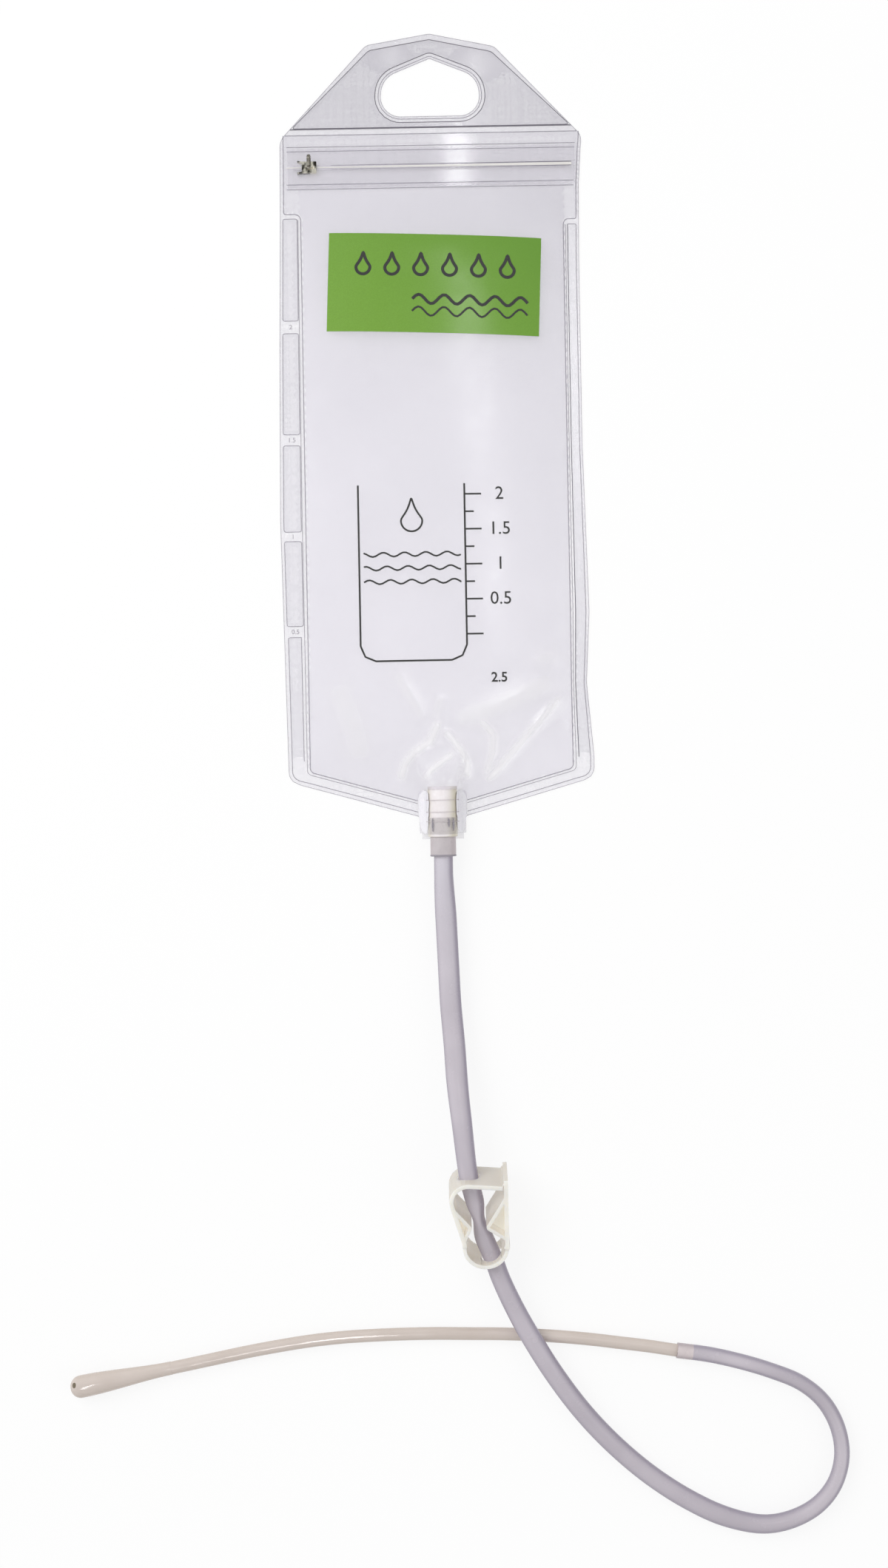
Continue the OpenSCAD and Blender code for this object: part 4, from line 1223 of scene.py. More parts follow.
        for edge in mesh.edges:
            edge.use_edge_sharp = uses[edge.key] == 1
        highlight_share = mesh.attributes.new(CREASE, "FLOAT", "POINT")
        highlight_share.data.foreach_set("value", creases(x, y))
        thick = obj.modifiers.new("film_thickness", "SOLIDIFY")
        thick.thickness, thick.offset = self.film_t * MM, 1.0
        return obj

    def front_regions(self, middles: np.ndarray) -> list[int]:
        """Sorts the front film's faces into regions.

        Args:
            middles: the faces' middles.

        Returns:
            One finish number per face.
        """
        loops = {name: self.waved(loop) for name, loop in self.loops().items()}
        numbers = np.full(len(middles), Region.WELD.value)
        numbers[inside(middles, loops["chamber"])] = Region.CHAMBER.value
        numbers[inside(middles, loops["mouth"])] = Region.MOUTH.value
        grip = inside(middles, loops["grip"]) & ~inside(middles, loops["ring"])
        numbers[grip] = Region.HANDLE.value
        for name, loop in loops.items():
            if name.startswith("pocket"):
                numbers[inside(middles, loop) & (middles[:, 1] > self.bottom_y)] = Region.POCKET.value
        return [int(n) for n in numbers]

    def bead(self, line: list[Point2], closed: bool, wide: float, high: float = 0.0) -> Mesh:
        """Runs a thin raised bead along a line on the front film.

        Args:
            line: the line's points.
            closed: whether it is a loop.
            wide: the bead's width.
            high: its height, or 0 for the usual one.

        Returns:
            The bead's mesh.
        """
        high, foot = high or self.bead_h, -self.bead_foot
        spine = self.top(self.waved(spaced(line, self.bead_step, closed)), 0.0)
        section = ((-0.5, foot), (-0.36, 0.7 * high), (0.0, high), (0.36, 0.7 * high), (0.5, foot))
        rings = [[spot + side * wide * s + UP * h for s, h in section]
                 for spot, (side, _) in zip(spine, frames(spine, closed))]
        return skin(rings, closed, not closed)

    def open_bead(self, corners: list[Corner], wide: float, high: float = 0.0) -> Mesh:
        """Runs a bead along an open line with rounded corners."""
        return self.bead(rounded(corners, closed=False), False, wide, high)

    def weld_lines(self) -> tuple[list[Mesh], list[Mesh], list[Mesh]]:
        """Traces the weld lines of the handle and of the chamber.

        Returns:
            The handle's beads, the chamber's and the darker ones.
        """
        loops = self.loops()
        base, half = self.base_y, self.half_w - self.base_inset[0]
        top, top_half = base - self.base_band, half + self.base_inset[1]
        deep = [self.bead([(-half, base), (half, base)], False, 0.7), self.bead(loops["grip"], True, 0.45),
                self.bead(loops["ring"], True, 0.5)]
        handle = [self.bead([(-top_half, top), (top_half, top)], False, 0.6),
                  self.bead(rounded(inset(self.hole, -self.hole_gap)), True, 0.5)]
        chamber = []
        for side, pocket_y in self.long_pockets:
            chamber.append(self.open_bead(self.chamber_line(side, 0.0, top), 0.6))
            (x, y, _), *second = self.chamber_line(side, self.channel_gap, top)[2:]
            chamber.append(self.open_bead([(x, y - 2, 0.0), *second], 0.4))
            outer = self.channel_line(side, pocket_y)
            chamber.append(self.open_bead(outer, 0.5))
            inner = [(outer[0][0], pocket_y), (outer[0][0], self.bottom_y - 2)]
            (deep if side > 0 else chamber).append(self.bead(inner, False, 0.5))
        for k in range(len(self.pockets)):
            chamber.append(self.bead(loops[f"pocket_{k}"], True, 0.5))
        return handle, chamber, deep

    def cut_edges(self) -> Mesh:
        """Traces the die-cut edges of the bag, which gather a thin grey line.

        Returns:
            The edges' mesh.
        """
        half, size = self.cut_edge_w / 2, (self.cut_edge_w, self.cut_edge_h)
        sides = [(x - math.copysign(half, x) if x else x, y - half, r) for x, y, r in self.handle]
        low = [(self.half_w - half, self.corner_y + half, self.corner_r),
               (self.tab_half + 0.6, self.tip_y + 0.5, 0.0)]
        path = low[::-1] + sides + [(-x, y, r) for x, y, r in low]
        hole = rounded(inset(self.hole, -half), 9)
        return merged([self.open_bead(path, *size), self.bead(hole, True, *size)])

    def build(self) -> None:
        """Builds the films and the beads in place of the CAD's."""
        rim, back_rim = (self.waved(spaced(rounded(self.sides(tab)), self.rim_step, True))
                         for tab in (False, True))
        hole = spaced(rounded(self.hole, 9), self.rim_step, True)
        lines = [self.waved(spaced(loop, self.rim_step, True)) for name, loop in self.loops().items()
                 if name != "chamber"]
        for side in (-1, 1):
            near, far = side * (self.collar_r + 0.6), side * (self.collar_r + 1.2)
            low, high = self.tab_end_y + 0.5, self.calm_y
            lines.append(spaced([(near, low), (far, low), (far, high), (near, high)], 1.2, True))
        front = self.sheet("front_sheet", [rim, hole], lines, self.lift, self.front_regions, self.painted_highlights,
                           [WELDED_FILM, CHAMBER_FILM, HANDLE_FILM, POCKET_FILM, MOUTH_FILM], True)
        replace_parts(front, "chamber_film", "handle_film")
        back = self.sheet("back_sheet", [back_rim, hole], [], self.level, lambda middles: [0] * len(middles),
                          self.level, [CHAMBER_FILM], False)
        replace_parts(back, "back_film")
        handle, chamber, deep = self.weld_lines()
        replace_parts(piece("handle_beads", merged(handle), [WELD_BEAD], sharp=70), "handle_weld")
        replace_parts(piece("chamber_beads", merged(chamber), [WELD_BEAD], sharp=70), "chamber_weld")
        piece("deep_beads", merged(deep), [DARK_BEAD], sharp=70)
        piece("cut_edges", self.cut_edges(), [WELD_BEAD], sharp=70)


# ---------------------------------------------------------------- zip and port


@dataclass
class Zip:
    """The extruded zip and its metal slider, in mm."""

    bag: Bag
    rail_edge: float = 0.12
    slider_edge: float = 0.35
    line_half: float = 95.5
    weld_size: Point2 = (0.5, 0.2)
    flange_top: float = 0.5
    rail_y: float = 184.0
    rail_end: float = 92.5
    rail_line_y: float = 1.25
    rail_line_t: Point2 = (-0.05, 0.06)
    rail_thin: float = 0.35
    rail_steps: int = 32

    def rail_line(self, side: float, wide: float, start: float = -66.0) -> Mesh:
        """Runs a thin line where the rail's halves catch: painted shadow at the sides, painted highlight at
        the middle.

        Args:
            side: -1 for the lower line, 1 for the upper one, 0 for the middle.
            wide: its width at the right end, in mm.
            start: its left end.

        Returns:
            The line's mesh.
        """
        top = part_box("zip_rail_upper")[1].z / MM
        rings = []
        for k in range(self.rail_steps + 1):
            share = k / self.rail_steps
            x, y = start + (self.rail_end - start) * share, self.rail_y + side * self.rail_line_y
            half = wide / 2 * (self.rail_thin + (1 - self.rail_thin) * share)
            rings.append(slab(Vector((x, y, top)), ALONG * half, *self.rail_line_t))
        return skin(rings, False, True)

    def build(self) -> None:
        """Dresses the zip's nodes, and traces the welds along its flanges."""
        lines = []
        for y in self.bag.zip_lines:
            bead = self.bag.bead([(-self.line_half, y), (self.line_half, y)], False, *self.weld_size)
            lines.append(([p + UP * self.flange_top for p in bead[0]], bead[1]))
        piece("zip_welds", merged(lines), [WELD_BEAD], sharp=70)
        # Painted shadow lines above and below the rail, with a painted highlight along its middle.
        pair = [self.rail_line(-1.0, 0.35), self.rail_line(1.0, 0.6)]
        piece("rail_lines", merged(pair), [DARK_BEAD])
        piece("rail_core", self.rail_line(0.0, 1.7, -96.0), [RAIL_HIGHLIGHT])
        for node in ("zip_rail_upper", "zip_rail_lower", "zip_end_stops"):
            dress(node, ZIP_PVC, self.rail_edge, 2)
        dress("slider_body", NICKEL, self.slider_edge)
        dress("slider_pull", PULL_NICKEL, self.slider_edge)


@dataclass
class Port:
    """The port tube with its welded tabs, connector and sleeve, in mm.

    tab_line is the right tab's outline, a streak is its x, its start and its end, and band_y is where the
    greyer end of the tube starts and stops.
    """

    bag: Bag
    edge: float = 0.25
    tab_base: float = 1.2
    tab_crown: float = 3.0
    tab_wide: float = 5.6
    tab_t: float = 0.8
    tab_fall: float = 2.2
    tab_jitter: float = 0.35
    tab_seed: int = 7
    tab_grit: float = 0.1
    tab_rings: tuple[float, ...] = (0.12, 0.35, 0.6, 0.82, 0.95, 1.0)
    tab_line: tuple[Point2, ...] = (
        (9.4, -230.4), (11.0, -229.0), (13.2, -228.6), (15.2, -229.2), (16.0, -231.5), (16.1, -238.0),
        (15.9, -244.0), (15.2, -250.0), (14.0, -255.6), (12.2, -257.4), (10.6, -256.4), (9.7, -250.0),
        (9.1, -243.0), (9.0, -236.0))
    streaks: tuple[Corner, ...] = ((-6.6, -246.8, -255.6), (3.9, -246.8, -252.6), (6.9, -246.6, -255.2))
    streak_half: float = 0.75
    streak_t: Point2 = (-0.3, 0.12)
    streak_steps: int = 6
    stitch_y: tuple[float, ...] = (-234.9, -242.8, -249.1)
    stitch_r: float = 0.16
    stitch_gap: float = 0.05
    stitch_turn: float = 4.0
    stitch_steps: int = 24
    nub: float = 2.0
    lip_r: float = 0.6
    lip_flat: float = 0.4
    lip_steps: int = 48
    band_y: Point2 = (-246.4, -257.4)
    band_gap: float = 0.06
    band_turn: float = 24.0
    band_steps: tuple[int, int] = (12, 20)

    def outside(self, gap: float) -> float:
        """Gives the radius that lies a gap outside the film on the tube."""
        return self.bag.collar_r + self.bag.film_t + gap

    def middle(self, y: float) -> Vector:
        """Gives the middle of the tube at y."""
        return Vector((0.0, y, self.bag.port_z))

    def tab(self, side: float) -> Mesh:
        """Builds one frosted tab as a thin pillow with a rough outline.

        Args:
            side: -1 for the left tab, 1 for the right one.

        Returns:
            The tab's mesh.
        """
        # Vector noise draws its offsets from this seed, and without one from the clock.
        noise.seed_set(self.tab_seed)
        outline = []
        for x, y in spaced(list(self.tab_line), 1.4, True):
            shake = noise.noise_vector(Vector((x * 0.8, y * 0.8, side * 7.0))) * self.tab_jitter
            outline.append(Vector((side * (x + shake.x), y + shake.y)))
        if side < 0:
            outline.reverse()
        middle = sum(outline, Vector((0.0, 0.0))) / len(outline)
        above, below = [], []
        for share in self.tab_rings:
            spots = [middle.lerp(p, share) for p in outline]
            puff = 0.5 * self.tab_t * math.sqrt(1 - min(share, 0.98) ** 2)
            grit = [self.tab_grit * noise.noise(Vector((p.x, p.y * 3, share))) for p in spots]
            above.append([Vector((*p, self.tab_height(p.x) + puff + g)) for p, g in zip(spots, grit)])
            below.append([Vector((*p, self.tab_height(p.x) - puff)) for p in spots])
        return skin(below + above[::-1], False, True)

    def tab_height(self, x: float) -> float:
        """Gives the height of the middle of a tab, which climbs the tube's side.

        Args:
            x: the place across the port, in mm.

        Returns:
            The height in mm.
        """
        out, radius = abs(x), self.bag.collar_r + 0.2
        past = max(out - radius, 0.0)
        flat = self.tab_base + self.tab_crown * max(1 - past / self.tab_wide, 0.0) ** 0.5
        side = self.bag.port_z + math.sqrt(max(radius ** 2 - out ** 2, 0.0))
        held = max(1 - past / self.tab_fall, 0.0)
        return flat + max(side - flat, 0.0) * held * held

    def stitches(self) -> list[Mesh]:
        """Builds the fine weld lines over the tube, with a nub at each end.

        Returns:
            The lines' meshes.
        """
        made = []
        for y in self.stitch_y:
            rings = []
            for k, out in enumerate(arch(self.stitch_turn, self.stitch_steps)):
                at_end = min(k, self.stitch_steps - k) < 2
                fat = self.stitch_r * (self.nub if at_end else 1.0)
                spot = out * self.outside(self.stitch_gap) + self.middle(y)
                rings.append(ring(spot, out * fat, ALONG * fat, 6))
            made.append(skin(rings, False, True))
        return made

    def shadows(self) -> list[Mesh]:
        """Builds the short grey streaks, painted shadows where the connector's nipple stops short of the
        tube.

        Returns:
            The streaks' meshes.
        """
        made = []
        for x, start, end in self.streaks:
            z = self.bag.port_z + math.sqrt(self.outside(self.band_gap) ** 2 - x ** 2)
            rings = []
            for share in (k / self.streak_steps for k in range(self.streak_steps + 1)):
                half = self.streak_half * math.sin(math.pi * (0.12 + 0.76 * share))
                spot = Vector((x, start + (end - start) * share, z))
                rings.append(slab(spot, ACROSS * half, *self.streak_t))
            made.append(skin(rings, False, True))
        return made

    def band(self) -> Mesh:
        """Builds the greyer end of the tube, where no nipple backs it, as a thin half ring.

        Returns:
            The ring's mesh.
        """
        rows, columns = self.band_steps
        over = arch(self.band_turn, columns)
        rings = []
        for k in range(rows + 1):
            middle = self.middle(self.band_y[0] + (self.band_y[1] - self.band_y[0]) * k / rows)
            rings.append([middle + out * self.outside(self.band_gap) for out in over]
                         + [middle + out * self.bag.collar_r for out in over[::-1]])
        return skin(rings, False, True)

    def lip(self) -> Mesh:
        """Builds the rolled lip at the lower end of the sleeve.

        Returns:
            The lip's mesh.
        """
        low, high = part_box("coupling_sleeve")
        reach, middle = (high.x - low.x) / 2 / MM, self.middle(low.y / MM + self.lip_r)
        rings = [ring(out * reach + middle, out * self.lip_flat * self.lip_r, ALONG * self.lip_r, 8)
                 for out in ring(Vector(), ACROSS, UP, self.lip_steps)]
        return skin(rings, True)

    def build(self) -> None:
        """Dresses the port's nodes and builds its tabs."""
        dress("port_tube", PORT_PVC, self.edge)
        dress("connector", POLYETHYLENE, self.edge)
        dress("coupling_sleeve", SLEEVE_PVC, self.edge)
        tabs = merged([self.tab(-1.0), self.tab(1.0)])
        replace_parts(piece("port_tabs", tabs, [FROSTED_PVC], sharp=70), "port_collar")
        piece("port_stitches", merged(self.stitches()), [SLEEVE_PVC], sharp=70)
        piece("port_band", self.band(), [PORT_SHADE])
        piece("port_streaks", merged(self.shadows()), [WELD_BEAD])
        piece("sleeve_lip", self.lip(), [WELD_BEAD])


# ---------------------------------------------------------------- hose, clamp and probe


@dataclass
class Clamp:
    """The pinch clamp: where it sits on the hose, and its dressing."""

    at: Corner = (23.0, -522.0, 18.571)
    tilt: float = 15.0
    pinch_u: float = -4.2
    pinch_v: float = 14.0
    edge: float = 0.55

    def point(self, u: float, v: float, w: float) -> Corner:
        """Turns a place in the clamp into one of the row frame.

        Args:
            u: across the clamp, in mm.
            v: along it, towards its strap.
            w: up from it.

        Returns:
            x, y and z in mm.
        """
        cos, sin = math.cos(math.radians(self.tilt)), math.sin(math.radians(self.tilt))
        x, y, z = self.at
        return x + u, y + v * cos - w * sin, z + v * sin + w * cos

    def build(self) -> None:
        """Dresses the clamp's nodes."""
        for node in CLAMP_NODES:
            dress(node, ACETAL, self.edge)


@dataclass
class Hose:
    """The soft hose from the connector to the probe, pinched in the clamp, in mm.

    oval is how many times as wide as round it is at a share of its length, and end_share is where the
    probe's end shows through it. in_clamp is in the clamp's own frame.
    """

    clamp: Clamp
    outside_r: float = 6.25
    wall: float = 1.9
    pinch: float = 0.656
    pinch_reach: float = 8.0
    pinch_bulge: float = 0.18
    end_share: float = 0.985
    oval: tuple[Point2, ...] = (
        (0.0, 1.0), (0.05, 1.0), (0.08, 1.12), (0.22, 1.14), (0.3, 1.0), (0.4, 1.0), (0.46, 1.06),
        (0.68, 1.06), (0.76, 0.9), (0.8, 0.82), (1.0, 0.8))
    tallest: float = 1.02
    sides: int = 24
    steps: int = 6
    down: tuple[Corner, ...] = (
        (0, -245.05, 10.05), (0, -272, 10.05), (0, -288, 10.05), (1, -314, 10.2), (2, -342, 10.9),
        (3, -369, 12.3), (5, -396, 14.8), (6.5, -422, 18.2), (9, -447, 22.6))
    in_clamp: tuple[Corner, ...] = (
        (-10.5, 44.5, 0), (-7, 28, 0), (-5.6, 21, 0), (-4.2, 14, 0), (-2.6, 7, 0.5), (-0.5, 0, 1),
        (5, -13.8, 2))
    loop: tuple[Corner, ...] = (
        (32.5, -549, 15.6), (41, -568, 15.8), (52.5, -589.5, 15.6), (68, -615, 13.5), (86.5, -640.5, 10.5),
        (107, -663, 8), (130, -683, 6.8), (154, -699, 6.5), (178, -710.5, 6.5), (203, -716, 6.5),
        (222, -713, 6.5), (239, -704, 6.5), (250.5, -690, 6.5), (255.5, -672, 6.5), (253, -653, 6.5),
        (244, -636, 6.5), (229.5, -623.5, 6.5), (210, -615, 6.5), (189.5, -608.5, 6.5), (168.5, -603.5, 6.5),
        (148, -600.5, 6.5))

    def build(self) -> None:
        route = [*self.down, *(self.clamp.point(*p) for p in self.in_clamp), *self.loop]
        line = flowing(route, self.steps)
        jaw = Vector(self.clamp.point(self.clamp.pinch_u, self.clamp.pinch_v, 0.0))
        whole, gone = length_of(line), 0.0
        shares, ovals = [], []
        for spot, before in zip(line, line[:1] + line):
            gone += (spot - before).length
            shares.append(gone / whole)
            wide = float(np.interp(shares[-1], *zip(*self.oval)))
            held = math.exp(-((spot - jaw).length / self.pinch_reach) ** 2)
            high = min(2 - wide, self.tallest) * (1 + self.pinch_bulge * held)
            ovals.append((wide * (1 - (1 - self.pinch) * held), high))
        mesh = tube(line, (self.outside_r, self.outside_r - self.wall), ovals, self.sides)
        obj = piece("hose_soft", mesh, [HOSE_PVC, HOSE_OVER_PROBE], sharp=50)
        last = sum(share < self.end_share for share in shares)
        for polygon in obj.data.polygons[last * self.sides:len(line) * self.sides]:
            polygon.material_index = 1
        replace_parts(obj, "hose")


@dataclass
class Probe:
    """The flexible probe with the bulb on its tip, in mm.

    bore is the depth and the radius at the steps of the bulb's outlet. The dark eye beside it is eye_back
    from the tip and eye_turn degrees off the top, and eye_rings are the share of its size and the height of
    each of its rings. bulb_steps are the rings along the bulb, those of them in its round end, and the
    finer ones that stand there.
    """

    outside_r: float = 4.2
    wall: float = 1.4
    sides: int = 20
    steps: int = 5
    mouth_r: float = 4.35
    bulb_r: float = 7.35
    outlet_r: float = 2.4
    bore: tuple[Point2, ...] = ((0.1, 2.05), (0.6, 1.9), (14.0, 1.9))
    eye_back: float = 3.2
    eye_turn: float = 27.0
    eye: Point2 = (1.35, 1.9)
    eye_rings: tuple[Point2, ...] = (
        (0.15, 0.05), (0.6, 0.05), (0.9, 0.04), (1.0, -0.02), (0.9, -0.4), (0.15, -0.4))
    eye_sides: int = 20
    swell_to: float = 59.0
    round_from: float = 60.5
    bulb_sides: int = 32
    bulb_steps: tuple[int, int, int] = (26, 4, 12)
    route: tuple[Corner, ...] = (
        (165, -603, 6.5), (148, -600.5, 6.5), (129.5, -597.5, 6), (110, -595, 5.2), (90.5, -592.5, 4.6),
        (71, -590.5, 4.4), (52, -589, 4.4), (32, -588, 4.4), (11, -587.5, 4.4), (-10, -587, 4.4),
        (-31, -587, 4.4), (-52, -587.5, 4.4), (-73, -588.5, 4.4), (-94, -590.5, 4.4), (-115, -593.5, 4.4),
        (-136, -597, 4.6), (-157, -601, 5), (-178, -605, 5.5), (-185.5, -606.4, 5.7),
        (-193.48, -607.84, 5.93))
    bulb_from: Corner = (-185.5, -606.4, 5.7)
    bulb_to: Corner = (-251.5, -618.31, 7.6)

    def bulb_radius(self, along: float, length: float) -> float:
        """Gives the bulb's radius.

        Args:
            along: the distance from its mouth, in mm.
            length: the bulb's length.

        Returns:
            The radius in mm.
        """
        rise = min(max(along / self.swell_to, 0.0), 1.0)
        body = self.mouth_r + (self.bulb_r - self.mouth_r) * rise * rise * (3 - 2 * rise)
        reach = (length - self.round_from) / math.sqrt(1 - (self.outlet_r / self.bulb_r) ** 2)
        past = max(along - self.round_from, 0.0) / reach
        return body * math.sqrt(max(1 - past * past, 0.0))

    def bulb(self) -> bpy.types.Object:
        """Builds the bulb with its outlet.

        Returns:
            The bulb.
        """
        start, end = Vector(self.bulb_from), Vector(self.bulb_to)
        ahead, length = (end - start).normalized(), (end - start).length
        side = ahead.cross(UP).normalized()
        lift = side.cross(ahead)
        steps, close, finer = self.bulb_steps
        stops = [length * k / steps for k in range(steps - close)]
        stops += [length - length * close / steps * (1 - k / finer) ** 2 for k in range(finer + 1)]
        profile = [(d, self.bulb_radius(d, length)) for d in sorted(set(stops))]
        profile += [(length - depth, radius) for depth, radius in self.bore]
        rings = [ring(start + ahead * d, side * r, lift * r, self.bulb_sides) for d, r in profile]
        spots = []
        for share, above in self.eye_rings:
            spots.append([])
            for t in (2 * math.pi * k / self.eye_sides for k in range(self.eye_sides)):
                along = length - self.eye_back + self.eye[0] * share * math.cos(t)
                radius = self.bulb_radius(along, length)
                turn = math.radians(90 - self.eye_turn) - self.eye[1] * share * math.sin(t) / radius
                out = side * math.cos(turn) + lift * math.sin(turn)
                spots[-1].append(start + ahead * along + out * (radius + above))
        mesh = merged([skin(rings, False, True), skin(spots, False, True)])
        obj = piece("bulb_tip", mesh, [PROBE_PVC, BORE_PVC], sharp=60)
        bored, whole = ((len(profile) - k) * self.bulb_sides for k in (len(self.bore), 1))
        for polygon in obj.data.polygons[bored:]:
            polygon.material_index = 0 if polygon.index == whole else 1
        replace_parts(obj, "probe_bulb")
        return obj

    def build(self) -> None:
        line = flowing(list(self.route), self.steps)
        mesh = tube(line, (self.outside_r, self.outside_r - self.wall), [(1.0, 1.0)] * len(line), self.sides)
        obj = piece("probe_flexible", mesh, [PROBE_PVC], sharp=50)
        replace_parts(obj, "probe_tube")
        self.bulb()


# ---------------------------------------------------------------- label and print


@dataclass
class Print:
    """The green label and the plain printed marks on the front film, in mm.

    label_foot is how far the label's underside is below its gap, a drop is its place and size, and gauge is
    the left, right, low and high edge of the gauge.
    """

    bag: Bag
    label_w: float = 140.0
    label_h: float = 65.0
    label_at: Point2 = (0.5, 104.8)
    label_tilt: float = -2.4
    label_gap: float = 0.25
    label_foot: float = 0.2
    label_t: float = 0.2
    columns: int = 40
    rows: int = 18
    ink_t: float = 0.12
    ink_foot: float = 0.05
    ink_gap: float = 0.05
    digit_gap: float = 0.12
    ink_step: float = 2.0
    drop_from: Point2 = (-47.0, 10.0)
    drop_step: float = 19.0
    drop_r: float = 4.6
    drops: int = 6
    label_line: float = 2.0
    wave_rows: tuple[Point2, ...] = ((-10.5, 2.0), (-18.5, 1.3))
    gauge: tuple[float, float, float, float] = (-52.0, 18.0, -143.0, -27.0)
    gauge_line: float = 1.2
    level_line: float = 1.1
    level_from: float = 17.0
    level_step: float = 11.5
    levels: int = 9

    def on_label(self, u: float, v: float) -> Point2:
        """Turns a place on the label, from its middle, into x and y."""
        turn = math.radians(self.label_tilt)
        return (self.label_at[0] + u * math.cos(turn) - v * math.sin(turn),
                self.label_at[1] + u * math.sin(turn) + v * math.cos(turn))

    def label(self) -> None:
        """Builds the green panel on the film."""
        grid = [self.on_label(self.label_w * (i / self.columns - 0.5), self.label_h * (j / self.rows - 0.5))
                for j in range(self.rows + 1) for i in range(self.columns + 1)]
        low = self.bag.top(grid, self.label_gap - self.label_foot)
        high = self.bag.top(grid, self.label_gap + self.label_t)
        wide, count = self.columns + 1, len(grid)
        faces: list[tuple[int, ...]] = []
        for j in range(self.rows):
            for i in range(self.columns):
                k = j * wide + i
                over = (k, k + 1, k + 1 + wide, k + wide)
                faces += [tuple(n + count for n in over), (k, k + wide, k + 1 + wide, k + 1)]
        rim = [*range(self.columns), *(self.columns + j * wide for j in range(self.rows)),
               *(count - 1 - i for i in range(self.columns)),
               *((self.rows - j) * wide for j in range(self.rows))]
        faces += [(a, b, b + count, a + count) for a, b in zip(rim, rim[1:] + rim[:1])]
        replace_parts(piece("label_print", (low + high, faces), [GREEN_INK]), "label_panel")

    def stroke(self, line: list[Point2], wide: float, above: float, closed: bool = False) -> Mesh:
        """Draws an inked line on the film.

        Args:
            line: the line's points.
            wide: its width in mm.
            above: how far the film is below the ink.
            closed: whether it is a loop.

        Returns:
            The line's mesh.
        """
        spine = self.bag.top(spaced(line, self.ink_step, closed), above)
        rings = [slab(spot, side * wide / 2, -self.ink_foot, self.ink_t)
                 for spot, (side, _) in zip(spine, frames(spine, closed))]
        return skin(rings, closed, not closed)

    def digits(self, text: str, size: float, at: Point2, above: float, bold: float = 0.0) -> Mesh:
        """Sets a plain number on the film.

        Args:
            text: the number.
            size: the height of its line in mm.
            at: its middle.
            above: how far the film is below the ink.
            bold: how much each stroke is fattened, in mm.

        Returns:
            The number's mesh.
        """
        curve = bpy.data.curves.new("digits", "FONT")
        curve.body, curve.size, curve.align_x, curve.align_y = text, size, "CENTER", "CENTER"
        curve.extrude, curve.resolution_u, curve.offset = self.ink_t, 3, bold
        obj = bpy.data.objects.new("digits", curve)
        bpy.context.scene.collection.objects.link(obj)
        drawn = bpy.data.meshes.new_from_object(obj.evaluated_get(bpy.context.evaluated_depsgraph_get()))
        spots = [v.co.copy() for v in drawn.vertices]
        base = self.bag.top([(at[0] + p.x, at[1] + p.y) for p in spots], above)
        points = [Vector((b.x, b.y, b.z + p.z)) for b, p in zip(base, spots)]
        faces = [tuple(p.vertices) for p in drawn.polygons]
        bpy.data.objects.remove(obj)
        bpy.data.curves.remove(curve)
        bpy.data.meshes.remove(drawn)
        return points, faces

    @staticmethod
    def drop(at: Point2, size: float) -> list[Point2]:
        """Draws a drop's outline.

        Args:
            at: the middle of its round end.
            size: its radius there.

        Returns:
            The outline.
        """
        line = []
        for x, y, _ in ring(Vector(), ACROSS, ALONG, 40):
            top = max(y, 0.0)
            line.append((at[0] + size * x * (1 - 0.75 * top ** 2), at[1] + size * y * (1 + 1.1 * top ** 3)))
        return line

    @staticmethod
    def wave(x: float, y: float, count: int, high: float, pace: float, lead: float = 0.0) -> list[Point2]:
        """Draws a wavy line to the right of x and y, which turns by pace at each step of 2 mm."""
        return [(x + 2.0 * k, y + high * math.sin(k * pace + lead)) for k in range(count)]

    def label_marks(self) -> list[Mesh]:
        """Draws the label's own motif: drops over two wavy lines.

        Returns:
            The marks' meshes.
        """
        above = self.label_gap + self.label_t
        marks = []
        for k in range(self.drops):
            at = (self.drop_from[0] + self.drop_step * k, self.drop_from[1])
            outline = [self.on_label(*p) for p in self.drop(at, self.drop_r)]
            marks.append(self.stroke(outline, self.label_line, above, True))
        for v, wide in self.wave_rows:
            line = [self.on_label(*p) for p in self.wave(-14.0, v, 39, 3.0, 0.75)]
            marks.append(self.stroke(line, wide, above))
        return marks

    def gauge_marks(self) -> list[Mesh]:
        """Draws a plain dosing gauge lower on the bag: a tall beaker outline, levels and numbers.

        Returns:
            The marks' meshes.
        """
        left, right, low, high = self.gauge
        cup = [(left, high), (left, low + 10), (left + 3, low + 3), (left + 10, low), (right - 10, low),
               (right - 3, low + 3), (right, low + 10), (right, high)]
        marks = [self.stroke(cup, self.gauge_line, self.ink_gap)]
        for k in range(self.levels):
            y, end = low + self.level_from + self.level_step * k, right + (11.0 if k % 2 == 0 else 6.0)
            marks.append(self.stroke([(right, y), (end, y)], self.level_line, self.ink_gap))
        for k, text in enumerate(("0.5", "1", "1.5", "2")):
            at = (right + 23.0, low + 40 + 2 * self.level_step * k)
            marks.append(self.digits(text, 12.0, at, self.digit_gap))
        for k in range(3):
            line = self.wave(left + 3, low + 52 + 9 * k, 33, 1.4, 0.9, k)
            marks.append(self.stroke(line, self.level_line, self.ink_gap))
        marks.append(self.stroke(self.drop((-17.0, -51.0), 7.0), self.gauge_line, self.ink_gap, True))
        return marks

    def fill_marks(self) -> Mesh:
        """Sets the small raised numbers beside the pockets."""
        places = (("2", 79.4), ("1.5", 4.6), ("1", -59.3), ("0.5", -122.3))
        return merged([self.digits(text, 4.4, self.bag.waved([(-93.6, y)])[0], 0.0) for text, y in places])

    def build(self) -> None:
        """Builds the label, the ink and the raised numbers."""
        self.label()
        piece("label_motif", merged(self.label_marks()), [BLACK_INK])
        piece("gauge_ink", merged(self.gauge_marks()), [BLACK_INK])
        number = self.digits("2.5", 9.0, (39.0, -155.0), self.digit_gap, 0.14)
        piece("small_number", number, [BLACK_INK])
        piece("fill_numbers", self.fill_marks(), [WELD_BEAD])


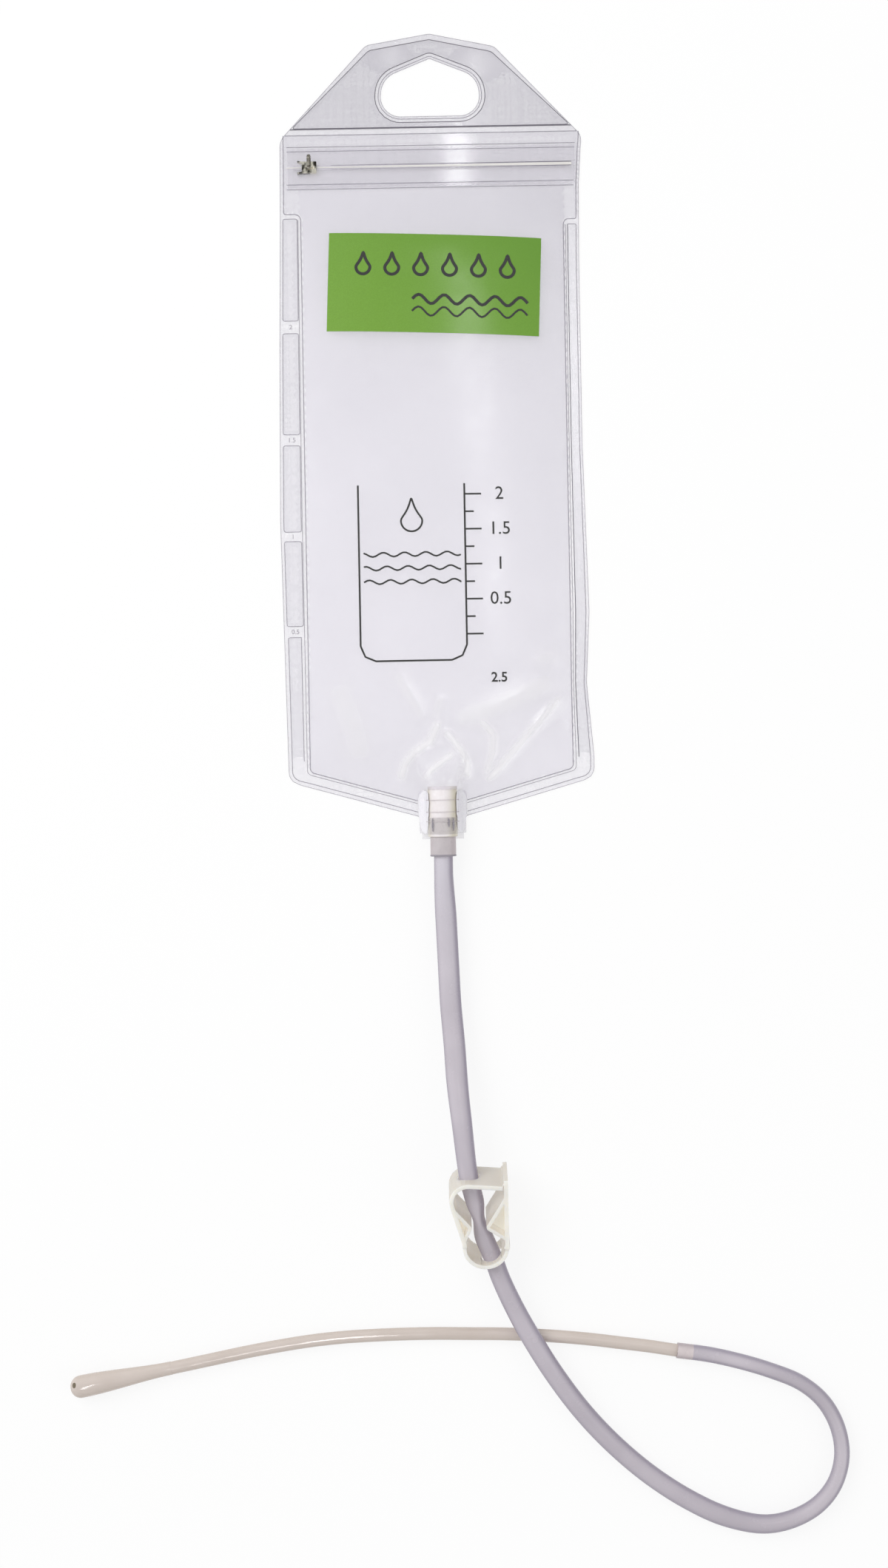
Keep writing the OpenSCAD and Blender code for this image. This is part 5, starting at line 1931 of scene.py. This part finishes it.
def main() -> None:
    """Builds the bag and the stage, in order."""
    logging.basicConfig(level=logging.INFO, format="%(name)s %(message)s")
    clamp = Clamp()
    Hose(clamp).build()
    Probe().build()
    clamp.build()
    bag = Bag()
    bag.build()
    Zip(bag).build()
    Port(bag).build()
    Print(bag).build()
    Stage().build()


if __name__ == "__main__":
    main()
